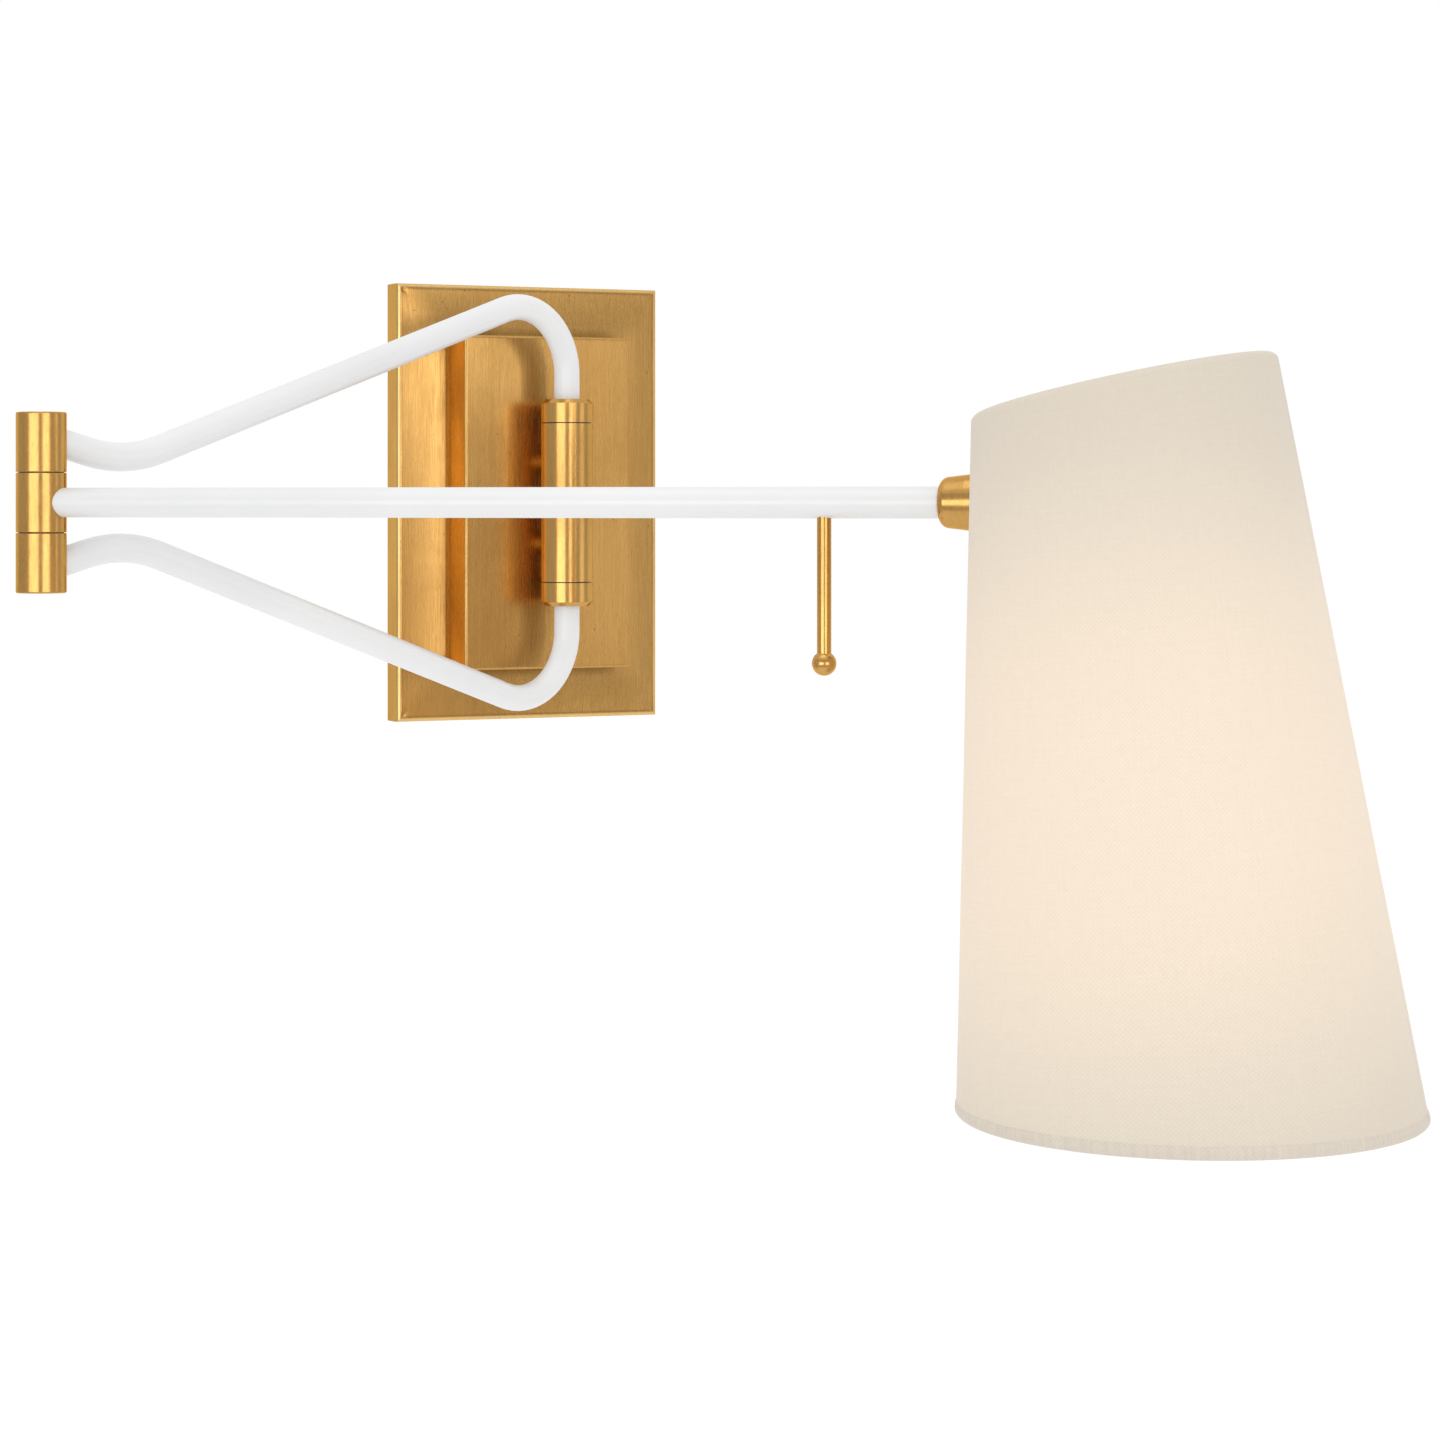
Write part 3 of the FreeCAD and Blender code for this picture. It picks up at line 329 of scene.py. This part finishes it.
def steel(name, light, dark, rough, grain=(260, 260, 260)):
    """Plated or drawn steel: mottled plating with faint scratches."""
    f = Finish(name, Metallic=1.0)
    patches = f.noise(f.place((70, 70, 70)), detail=5, twist=0.6)
    scratches = f.noise(f.place(grain), detail=4, rough=0.7)
    f.shade("Base Color", f.blend(f.span(patches, 0.3, 0.7), light, dark))
    both = f.calc(patches, scratches)
    f.shade("Roughness", f.span(both, 0.6, 1.4, rough - 0.08, rough + 0.14))
    f.bump(scratches, 0.00004, 0.4)
    return f.material


def moulded(name, light, dark, rough):
    """Moulded plastic or phenolic: slight flow marks and a fine matt grain."""
    f = Finish(name)
    flow = f.noise(f.place((120, 120, 48)), detail=4, twist=1.2)
    grain = f.noise(f.place((2400, 2400, 2400)), detail=2)
    f.shade("Base Color", f.blend(f.span(flow, 0.3, 0.72), light, dark))
    f.shade("Roughness", f.span(grain, 0.3, 0.7, rough - 0.06, rough + 0.08))
    f.bump(grain, 0.00002, 0.4)
    return f.material


WHITE_LEAD = ((0.78, 0.77, 0.73), (0.66, 0.65, 0.6))
BLACK_LEAD = (0.025, 0.025, 0.028)
GREEN_LEAD = (0.03, 0.22, 0.06)
BLACK_FROM = 0.0040, 0.0044
GREEN_FROM = -0.0066, -0.0070


def wire_colours():
    """Three insulated leads, told apart by where they run: black, white, green from the right."""
    f = Finish("wire_insulation", Roughness=0.42)
    node = f.tree.nodes.new("ShaderNodeSeparateXYZ")
    f.put(node.inputs["Vector"], f.coords.outputs["Object"])
    mark = f.noise(f.place((500, 500, 120)), detail=3)
    colour = f.blend(f.span(mark, 0.35, 0.7), *WHITE_LEAD)
    colour = f.blend(f.span(node.outputs["X"], *BLACK_FROM), colour, BLACK_LEAD)
    colour = f.blend(f.span(node.outputs["X"], *GREEN_FROM), colour, GREEN_LEAD)
    f.shade("Base Color", colour)
    f.bump(mark, 0.00003, 0.3)
    return f.material


def bulb_colour():
    """Soft white coating inside the bulb, lit warm."""
    f = Finish("bulb_glass", Roughness=0.25, Emission_Strength=1.3, Coat_Weight=0.6,
               Coat_Roughness=0.05)
    dust = f.span(f.noise(f.place((90, 90, 90)), detail=4), 0.3, 0.7)
    f.shade("Base Color", f.blend(dust, (0.90, 0.88, 0.84), (0.84, 0.81, 0.76)))
    f.shade("Emission Color", f.blend(dust, (1.0, 0.82, 0.58), (1.0, 0.78, 0.52)))
    return f.material


BULB_LOW, BULB_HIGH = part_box("bulb_glass")
GLOW_CENTRE = (BULB_LOW + BULB_HIGH) / 2


def glow_of(f, near, far):
    """1 at the distance near from the bulb's centre, falling smoothly to 0 at the distance far."""
    node = f.tree.nodes.new("ShaderNodeVectorMath")
    node.operation = "DISTANCE"
    f.put(node.inputs[0], f.coords.outputs["Object"])
    node.inputs[1].default_value = GLOW_CENTRE
    fall = f.tree.nodes.new("ShaderNodeMapRange")
    fall.interpolation_type = "SMOOTHERSTEP"
    f.put(fall.inputs["Value"], node.outputs["Value"])
    fall.inputs["From Min"].default_value = far
    fall.inputs["From Max"].default_value = near
    return fall.outputs["Result"]


THREAD = 0.70 * MM
UNLIT = (0.0, 0.0, 0.0)


def linen(name, light, dark, glow_colour, gathers=0.0):
    """Plain-woven linen on a white liner: threads both ways, slubs, and the bulb glowing through.

    gathers is how strongly small creases cross a hem, where the cloth is pulled round the ring.
    """
    f = Finish(name, Roughness=0.9, Sheen_Weight=0.15, Sheen_Roughness=0.5, Emission_Strength=1.0)
    drift = f.noise(f.place((170, 170, 1), "UV"), detail=2)
    split = f.tree.nodes.new("ShaderNodeSeparateXYZ")
    f.put(split.inputs["Vector"], f.place((math.pi / THREAD, math.pi / THREAD, 1), "UV"))
    across = f.calc(f.calc(split.outputs["X"], f.calc(drift, 3.5, "MULTIPLY")), 0.0, "SINE")
    up = f.calc(f.calc(split.outputs["Y"], f.calc(drift, 3.0, "MULTIPLY")), 0.0, "SINE")
    weave = f.span(f.calc(across, up, "MULTIPLY"), -1.0, 1.0)
    weft = f.noise(f.place((200, 1300, 1), "UV"), detail=2, rough=0.6)
    warp = f.noise(f.place((1300, 200, 1), "UV"), detail=2, rough=0.6)
    slub = f.noise(f.place((26, 800, 1), "UV"), detail=3, rough=0.65)
    slub_up = f.noise(f.place((800, 26, 1), "UV"), detail=3, rough=0.65)
    broad = f.noise(f.place((24, 24, 1), "UV"), detail=4)
    slubs = f.calc(f.calc(slub, slub_up), 0.6, "MULTIPLY")
    threads = f.calc(f.calc(weft, warp), f.calc(slubs, 0.4))
    cloth = f.calc(f.span(threads, 1.5, 2.5, 0.0, 0.5), f.span(weave, 0.0, 1.0, 0.0, 0.5))
    if gathers:
        creases = f.noise(f.place((1100, 40, 1), "UV"), detail=3)
        # The creases lighten and darken the cloth's colour too: painted shade along the folds,
        # beside their bump.
        cloth = f.calc(cloth, f.span(creases, 0.3, 0.7, -gathers, gathers))
    colour = f.blend(cloth, dark, light)
    colour = f.blend(f.span(broad, 0.35, 0.7, 0.0, 0.12), colour, dark)
    f.shade("Base Color", colour)
    glow = f.calc(glow_of(f, 0.045, 0.150), f.span(cloth, 0.0, 1.0, 0.90, 1.06), "MULTIPLY")
    f.shade("Emission Color", f.blend(glow, UNLIT, glow_colour))
    f.bump(cloth, 0.00010, 0.6)
    return f.material


def styrene():
    """White styrene liner, matt inside and lit by the bulb."""
    f = Finish("shade_styrene", Roughness=0.55, Emission_Strength=1.0)
    cloud = f.span(f.noise(f.place((40, 40, 40)), detail=4), 0.3, 0.7)
    f.shade("Base Color", f.blend(cloud, (0.76, 0.745, 0.71), (0.70, 0.68, 0.64)))
    f.bump(f.noise(f.place((700, 700, 700)), detail=2), 0.00004, 0.4)
    f.shade("Emission Color", f.blend(glow_of(f, 0.05, 0.17), UNLIT, (0.09, 0.060, 0.033)))
    return f.material


STEELS = {
    "plated_steel": ((0.58, 0.575, 0.55), (0.42, 0.42, 0.41), 0.34),
    "spring_steel": ((0.55, 0.55, 0.56), (0.38, 0.38, 0.40), 0.28),
    "bulb_cap_metal": ((0.78, 0.77, 0.74), (0.60, 0.59, 0.56), 0.24, (60, 60, 1500)),
    "green_steel": ((0.10, 0.42, 0.16), (0.05, 0.26, 0.09), 0.34),
}
MOULDINGS = {
    "ring_wire": ((0.84, 0.84, 0.82), (0.74, 0.74, 0.71), 0.35),
    "nylon": ((0.07, 0.045, 0.025), (0.045, 0.03, 0.018), 0.4),
    "connector_plastic": ((0.62, 0.30, 0.05), (0.48, 0.21, 0.03), 0.4),
    "switch_phenolic": ((0.11, 0.055, 0.03), (0.06, 0.03, 0.018), 0.35),
    "socket_phenolic": ((0.035, 0.03, 0.028), (0.06, 0.045, 0.035), 0.32),
}


def finish_nodes():
    """Gives every CAD node its material. Returns the two that the new metal pieces share."""
    plate_brass = brass("antique_brass", PLATE_GRAIN, 0.65)
    turned_brass = brass("antique_brass_turned", TURNED_GRAIN, 0.6, rough=0.21, pits=0.2,
                         brush=0.08)
    hardware = brass("brass_hardware", TURNED_GRAIN, 0.4, (0.62, 0.39, 0.14),
                     (0.42, 0.25, 0.075), 0.2)
    finishes = {"antique_brass": turned_brass, "brass_hardware": hardware,
                "white_enamel": enamel(), "wire_insulation": wire_colours(),
                "bulb_glass": bulb_colour()}
    finishes.update({name: steel(name, *looks) for name, looks in STEELS.items()})
    finishes.update({name: moulded(name, *looks) for name, looks in MOULDINGS.items()})
    for name, node in NODES.items():
        for slot in node.material_slots:
            finish = finishes.get(slot.material.name.split(".")[0])
            if name in ("base_plate", "raised_block"):
                finish = plate_brass
            if name in ("pull_rod", "pull_ball"):
                finish = turned_brass
            if finish:
                slot.material = finish
    return plate_brass, finishes["spring_steel"]


# ---------------------------------------------------------------- the shade's own frame

ELBOW = Vector(JOINTS["elbow_swing"]["pos_m"])
ALONG_ARM = Vector(JOINTS["shade_swivel"]["axis"]).normalized()
ACROSS_ARM = Vector((0, 0, 1)).cross(ALONG_ARM)
ARM = Matrix.Translation(ELBOW) @ Matrix((ALONG_ARM, ACROSS_ARM, (0, 0, 1))).transposed().to_4x4()

LEAN = math.radians(5.0)
FLARE = math.radians(6.1)
SHADE_DOWN = Vector((math.sin(LEAN), 0, -math.cos(LEAN)))
SHADE_SIDE = Vector((math.cos(LEAN), 0, math.sin(LEAN)))
SHADE_CROSS = Vector((0, 1, 0))
SHADE_MIDDLE = Vector((382.4, 0, 0)) * MM
SHADE_R = 52.0 * MM
TOP_SLOPE = math.radians(11.9)
TOP_RIM = (Vector((378.0, 0, 36.8)) * MM, Vector((-math.sin(TOP_SLOPE), 0, math.cos(TOP_SLOPE))))
BOTTOM_RIM = (Vector((0, 0, -190.6)) * MM, Vector((0, 0, 1)))
FABRIC_T = 0.6 * MM
LINER_T = 0.8 * MM


def on_cone(angle, inset, along):
    """The place at that angle, inset from the shade's outer face, along its axis from the arm."""
    reach = SHADE_R - inset / math.cos(FLARE) + math.tan(FLARE) * along
    out = SHADE_SIDE * math.cos(angle) + SHADE_CROSS * math.sin(angle)
    return SHADE_MIDDLE + SHADE_DOWN * along + out * reach


def rim_along(angle, inset, rim):
    """How far along its axis the cone meets the rim's plane at that angle."""
    point, normal = rim
    out = SHADE_SIDE * math.cos(angle) + SHADE_CROSS * math.sin(angle)
    start = SHADE_MIDDLE + out * (SHADE_R - inset / math.cos(FLARE)) - point
    return -start.dot(normal) / (SHADE_DOWN + out * math.tan(FLARE)).dot(normal)


def new_piece(name, points, faces, finish, body, uvs):
    """points are in the arm's frame. uvs holds one pair for each point."""
    piece = mesh_object(name, [ARM @ p for p in points], faces, finish)
    mesh = piece.data
    for face in mesh.polygons:
        face.use_smooth = True
    layer = mesh.uv_layers.new(name="UVMap")
    for loop in mesh.loops:
        layer.data[loop.index].uv = uvs[loop.vertex_index]
    mesh.set_sharp_from_angle(angle=math.radians(50))
    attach(piece, body)
    return piece


def ring_faces(rings, count, closed):
    """Quads between successive rings of count points. closed joins the last ring to the first."""
    faces = []
    for j in range(rings if closed else rings - 1):
        for i in range(count):
            k = (i + 1) % count
            n = (j + 1) % rings
            faces.append((j * count + i, j * count + k, n * count + k, n * count + i))
    return faces


AROUND = 360
SEAM_ANGLE = math.radians(96.0)
SEAM_WIDTH = math.radians(9.0)
SEAM_RISE = 0.35 * MM
SEAM_EDGE = 0.08
SEAM_TAIL = 0.5
MEAN_R = 62.0 * MM


def lap(angle):
    """How far the lap seam lifts the cloth at that angle. It has a steep edge and a long tail."""
    t = (angle - SEAM_ANGLE) / SEAM_WIDTH
    if not 0.0 <= t <= 1.0:
        return 0.0
    return SEAM_RISE * min(1.0, t / SEAM_EDGE) * min(1.0, (1.0 - t) / SEAM_TAIL)


ROWS = 90
TRIM = 2.2 * MM
CLOTH_WAVE = 0.07 * MM


def make_shell(name, outer, inner, finish, node, seamed):
    """A thin cone between two insets, trimmed where the folded hems take over."""
    points = []
    uvs = []
    for inset, order in ((outer, range(ROWS + 1)), (inner, range(ROWS, -1, -1))):
        for j in order:
            for i in range(AROUND):
                angle = 2 * math.pi * i / AROUND
                top = rim_along(angle, inset, TOP_RIM) + TRIM
                low = rim_along(angle, inset, BOTTOM_RIM) - TRIM
                along = top + (low - top) * j / ROWS
                out = 0.0
                if seamed and inset == outer:
                    place = Vector((8 * math.cos(angle), 8 * math.sin(angle), 30 * along))
                    out = lap(angle) + CLOTH_WAVE * noise.noise(place)
                points.append(on_cone(angle, inset - out, along))
                uvs.append((angle * MEAN_R, along))
    faces = ring_faces(2 * (ROWS + 1), AROUND, True)
    piece = new_piece(name, points, faces, finish, "shade_head", uvs)
    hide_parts(node)
    return piece


FEATHER = 0.25


def band_section(path, thick, first):
    """Both sides of a folded band whose middle follows path.

    It starts at the share first of its thickness and ends in a feather edge.
    """
    left, right = [], []
    last = len(path) - 1
    for k, (x, y) in enumerate(path):
        x0, y0 = path[max(0, k - 1)]
        x1, y1 = path[min(last, k + 1)]
        size = math.hypot(x1 - x0, y1 - y0)
        nx, ny = (y1 - y0) / size, (x0 - x1) / size
        half = thick / 2 * (first if k == 0 else FEATHER if k == last else 1.0)
        left.append((x + nx * half, y + ny * half))
        right.append((x - nx * half, y - ny * half))
    return left + right[::-1]


ROLL_R = 2.5 * MM
ROLL_STEPS = 12
ROLL_SQUASH = 0.88
BAND_RUN = 4.4 * MM
# Inset and run, in millimetres, where the cloth leaves the roll and comes to lie on the liner.
HEM_INSIDE = ((4.60, 3.7), (3.85, 4.7), (2.9, 5.3), (2.1, 5.8), (1.75, 6.6), (1.66, 7.6))


def hem_path(thick, flush):
    """The folded cloth's middle, as pairs: inset from the shade's face, run in from the rim."""
    if flush:
        middle = ROLL_R + thick / 2
        path = [(thick / 2, TRIM + 0.03 * MM)]
        roll_run = TRIM
    else:
        middle = ROLL_R - thick / 2
        path = [(0.02 * thick, BAND_RUN), (-0.14 * thick, 3.8 * MM), (-0.38 * thick, 3.1 * MM)]
        roll_run = ROLL_R
    for step in range(ROLL_STEPS + 1):
        turn = math.pi * step / ROLL_STEPS
        run = roll_run - ROLL_SQUASH * ROLL_R * math.sin(turn)
        path.append((middle - ROLL_R * math.cos(turn), run))
    return path + [(x * MM, y * MM) for x, y in HEM_INSIDE]


INNER_EDGE_WAVE = 0.22 * MM
PUFF = 0.05 * MM


def make_hem(name, node, rim, toward, thick, finish, flush):
    """Cloth rolled round the ring at one rim. toward is +1 where the shade lies below the rim.

    A flush hem carries on from the cloth's own face. Otherwise it laps over the face's edge.
    """
    section = band_section(hem_path(thick, flush), thick, 1.0 if flush else FEATHER)
    points = []
    uvs = []
    for k, (inset, run) in enumerate(section):
        for i in range(AROUND):
            angle = 2 * math.pi * i / AROUND
            place = Vector((11 * math.cos(angle), 11 * math.sin(angle), 3 + toward))
            edge = INNER_EDGE_WAVE * noise.noise(place) if run > 5 * MM else 0.0
            puff = 0.0 if flush and run > TRIM else PUFF * noise.noise(3 * place)
            out = lap(angle) if inset < thick / 4 else 0.0
            along = rim_along(angle, inset, rim) + toward * (run + edge)
            points.append(on_cone(angle, inset - out - puff, along))
            unrolled = run if inset < ROLL_R else -run
            uvs.append((angle * MEAN_R, rim_along(angle, 0, rim) + toward * unrolled))
    faces = ring_faces(len(section), AROUND, True)
    if toward < 0:
        faces = [face[::-1] for face in faces]
    piece = new_piece(name, points, faces, finish, "shade_head", uvs)
    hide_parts(node)
    return piece


def flat_size():
    """Width and length of the rectangle that the unrolled cone is cut from, in metres."""
    sweep = 2 * math.pi * math.sin(FLARE)
    across, up = [], []
    for i in range(AROUND + 1):
        angle = 2 * math.pi * i / AROUND
        for rim in (TOP_RIM, BOTTOM_RIM):
            slant = (SHADE_R + math.tan(FLARE) * rim_along(angle, 0, rim)) / math.sin(FLARE)
            turn = sweep * (i / AROUND - 0.5)
            across.append(slant * math.sin(turn))
            up.append(slant * math.cos(turn))
    return max(across) - min(across), max(up) - min(up)


TAPE_T = 0.5 * MM
FOLD_T = 0.35 * MM


def make_shade():
    cloth = linen("shade_linen", (0.665, 0.596, 0.50), (0.59, 0.525, 0.436), (0.215, 0.15, 0.10))
    tape = linen("hem_tape", (0.645, 0.583, 0.493), (0.56, 0.50, 0.42), (0.03, 0.021, 0.014), 0.3)
    fabric = make_shell("linen_shade", 0.0, FABRIC_T, cloth, "shade_fabric", True)
    make_shell("liner_shell", FABRIC_T, FABRIC_T + LINER_T, styrene(),
               "shade_liner", False)
    bottom = make_hem("hem_bottom", "bottom_hem", BOTTOM_RIM, -1, TAPE_T, tape, False)
    top = make_hem("hem_top", "top_hem", TOP_RIM, 1, FOLD_T, cloth, True)
    flat_size()


# ---------------------------------------------------------------- the back plate

PLATE_LOW, PLATE_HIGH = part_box("base_plate")
BLOCK_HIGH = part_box("raised_block")[1]
PLATE_A = PLATE_HIGH.x
PLATE_B = PLATE_HIGH.z
PLATE_EDGE = 12.5 * MM
PLATE_TOP = -PLATE_LOW.y
PLATE_SHEET = 1.5 * MM
PLATE_ROUND = 1.9 * MM
FOOT_INSET = PLATE_A - BLOCK_HIGH.x
OPENING_A = 31.0 * MM
OPENING_B = 62.5 * MM
OPENING_CUT = 12.0 * MM
SIDE_HOLE_R = 1.65 * MM
SIDE_HOLE_SIDES = 40
SHORT_STEPS = 30
TALL_STEPS = 44
DISH_STEPS = 24
ROUND_STEPS = 7
SLOPE_SHARE = 0.45
MITRE_SOFT = 9.0 * MM
GRIME_AND_SHADE_REACH = 3.5 * MM


def outline_marks():
    """Points round a square from -1 to 1, closer together towards its corners."""
    short = [-math.cos(math.pi * k / SHORT_STEPS) for k in range(SHORT_STEPS)]
    tall = [-math.cos(math.pi * k / TALL_STEPS) for k in range(TALL_STEPS)]
    return ([(u, -1) for u in short] + [(1, u) for u in tall]
            + [(-u, 1) for u in short] + [(-1, -u) for u in tall])


def dish(d):
    """How far the plate's front stands off the wall at the distance d in from its outline."""
    if d < PLATE_ROUND:
        rise = math.sqrt(max(0.0, PLATE_ROUND ** 2 - (PLATE_ROUND - d) ** 2))
        return PLATE_EDGE - PLATE_ROUND + rise
    t = min(1.0, (d - PLATE_ROUND) / (FOOT_INSET - PLATE_ROUND))
    return PLATE_EDGE + (PLATE_TOP - PLATE_EDGE) * (SLOPE_SHARE * t + (1 - SLOPE_SHARE) * t * t)


def soft_inset(x, z):
    """Distance in from the outline, with the crease at the corners rounded off."""
    dx, dz = PLATE_A - abs(x), PLATE_B - abs(z)
    nearest = max(0.0, min(dx, dz))
    soft = min(MITRE_SOFT, 2.4 * nearest)
    if soft <= 0:
        return nearest
    overlap = max(soft - abs(dx - dz), 0.0) / soft
    return nearest - overlap * overlap * soft / 4


def opening(u, v):
    """The mark's place on the opening behind the block, a rectangle with its corners cut off."""
    x, z = u * OPENING_A, v * OPENING_B
    over = abs(x) + abs(z) - (OPENING_A + OPENING_B - OPENING_CUT)
    if over > 0:
        x -= math.copysign(over / 2, x)
        z -= math.copysign(over / 2, z)
    return x, z


def make_plate(finish):
    marks = outline_marks()
    points, edge_wear_and_highlight, grime_and_shade = [], [], []

    def ring(inset, depth=None, wear_and_highlight=0.0, crease_shade=0.0):
        """One ring of points. depth None follows the dished front."""
        for u, v in marks:
            x, z = u * (PLATE_A - inset), v * (PLATE_B - inset)
            soft = soft_inset(x, z)
            points.append(Vector((x, -(dish(soft) if depth is None else depth), z)))
            edge_wear_and_highlight.append(wear_and_highlight)
            # Near the block's foot the front darkens: grime, and painted shade where the front
            # meets the block.
            near_foot = max(0.0, min(1.0, (soft - FOOT_INSET) / GRIME_AND_SHADE_REACH + 1.0))
            grime_and_shade.append(max(crease_shade, 0.75 * near_foot) if depth is None else 0.0)

    def opening_ring(depth):
        for u, v in marks:
            x, z = opening(u, v)
            points.append(Vector((x, -depth, z)))
            edge_wear_and_highlight.append(0.0)
            grime_and_shade.append(0.3)

    opening_ring(PLATE_TOP)
    ring(FOOT_INSET + 2 * MM, PLATE_TOP)
    for k in range(DISH_STEPS + 1):
        inset = FOOT_INSET + (PLATE_ROUND - FOOT_INSET) * k / DISH_STEPS
        # The ring where the dish meets the rounded edge gets a thin line of painted shade.
        ring(inset, crease_shade=0.5 if k == DISH_STEPS else 0.0)
    for k in range(1, ROUND_STEPS + 1):
        turn = math.pi / 2 * k / ROUND_STEPS
        # Across the rounded edge the brass is rubbed lighter, with a painted highlight peaking at
        # its middle.
        wear_and_highlight = 0.9 * math.sin(2 * turn) if k < ROUND_STEPS else 0.2
        depth = PLATE_EDGE - PLATE_ROUND * (1 - math.cos(turn))
        ring(PLATE_ROUND * (1 - math.sin(turn)), depth, wear_and_highlight)
    ring(0.0, 6 * MM)
    ring(0.0, 0.3 * MM)
    ring(0.3 * MM, 0.0, 0.3)
    ring(PLATE_SHEET - 0.1 * MM, 0.0)
    ring(PLATE_SHEET, 0.1 * MM)
    ring(PLATE_SHEET, PLATE_EDGE - PLATE_SHEET - 0.6 * MM)
    ring(PLATE_SHEET + 0.6 * MM, PLATE_EDGE - PLATE_SHEET)
    ring(FOOT_INSET, PLATE_TOP - PLATE_SHEET)
    opening_ring(PLATE_TOP - PLATE_SHEET)
    faces = ring_faces(len(points) // len(marks), len(marks), True)
    piece = mesh_object("pressed_plate", points, faces, finish)
    for name, values in (("edge_wear_and_highlight", edge_wear_and_highlight), ("grime_and_shade", grime_and_shade)):
        layer = piece.data.attributes.new(name, "FLOAT", "POINT")
        layer.data.foreach_set("value", values)
    for side in (-1, 1):
        cut_hole(piece, side)
    mesh = piece.data
    for face in mesh.polygons:
        face.use_smooth = True
    mesh.set_sharp_from_angle(angle=math.radians(32))
    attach(piece, "wall_mount")
    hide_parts("base_plate")


def cut_hole(piece, side):
    """Cuts a side screw's hole in the plate's top or bottom wall."""
    low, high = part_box("side_screws")
    middle = (low + high) / 2
    count = SIDE_HOLE_SIDES
    points = [(x, middle.y + y, side * z) for z in (PLATE_B - 2.5 * MM, PLATE_B + 1 * MM)
              for x, y in circle(SIDE_HOLE_R, count)]
    ends = [tuple(range(count)), tuple(range(2 * count - 1, count - 1, -1))]
    drill = mesh_object("drill", points, ring_faces(2, count, False) + ends)
    work = bmesh.new()
    work.from_mesh(drill.data)
    bmesh.ops.recalc_face_normals(work, faces=work.faces)
    work.to_mesh(drill.data)
    work.free()
    cut = piece.modifiers.new("hole", "BOOLEAN")
    cut.object = drill
    cut.operation = "DIFFERENCE"
    cut.solver = "EXACT"
    graph = bpy.context.evaluated_depsgraph_get()
    result = bpy.data.meshes.new_from_object(piece.evaluated_get(graph))
    piece.modifiers.remove(cut)
    piece.data = result
    bpy.data.objects.remove(drill)


# ---------------------------------------------------------------- the pull switch's return spring

SPRING_WIRE = 0.35 * MM
SPRING_TURNS = 3.5
SPRING_STEPS = 30
SPRING_SIDES = 10


def make_spring(finish):
    """A coil round the rod."""
    low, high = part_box("return_spring")
    centre = (low + high) / 2
    wire = SPRING_WIRE / 2
    mean_r = (high.y - low.y) / 2 - wire
    climb = high.z - low.z - SPRING_WIRE
    count = int(SPRING_TURNS * SPRING_STEPS)
    points = []
    for i in range(count + 1):
        turn = 2 * math.pi * i / SPRING_STEPS
        out = Vector((math.cos(turn), math.sin(turn), 0))
        middle = Vector((centre.x, centre.y, low.z + wire + climb * i / count)) + mean_r * out
        for k in range(SPRING_SIDES):
            a = 2 * math.pi * k / SPRING_SIDES
            points.append(middle + wire * (out * math.cos(a) + Vector((0, 0, math.sin(a)))))
    faces = [face[::-1] for face in ring_faces(count + 1, SPRING_SIDES, False)]
    last = count * SPRING_SIDES
    faces += [tuple(range(SPRING_SIDES)), tuple(range(last + SPRING_SIDES - 1, last - 1, -1))]
    piece = mesh_object("coil_spring", points, faces, finish)
    for face in piece.data.polygons:
        face.use_smooth = len(face.vertices) == 4
    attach(piece, "outer_arm")
    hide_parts("return_spring")
    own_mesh(piece)


add_camera()
add_stage()
plate_finish, spring_finish = finish_nodes()
make_shade()
make_plate(plate_finish)
make_spring(spring_finish)
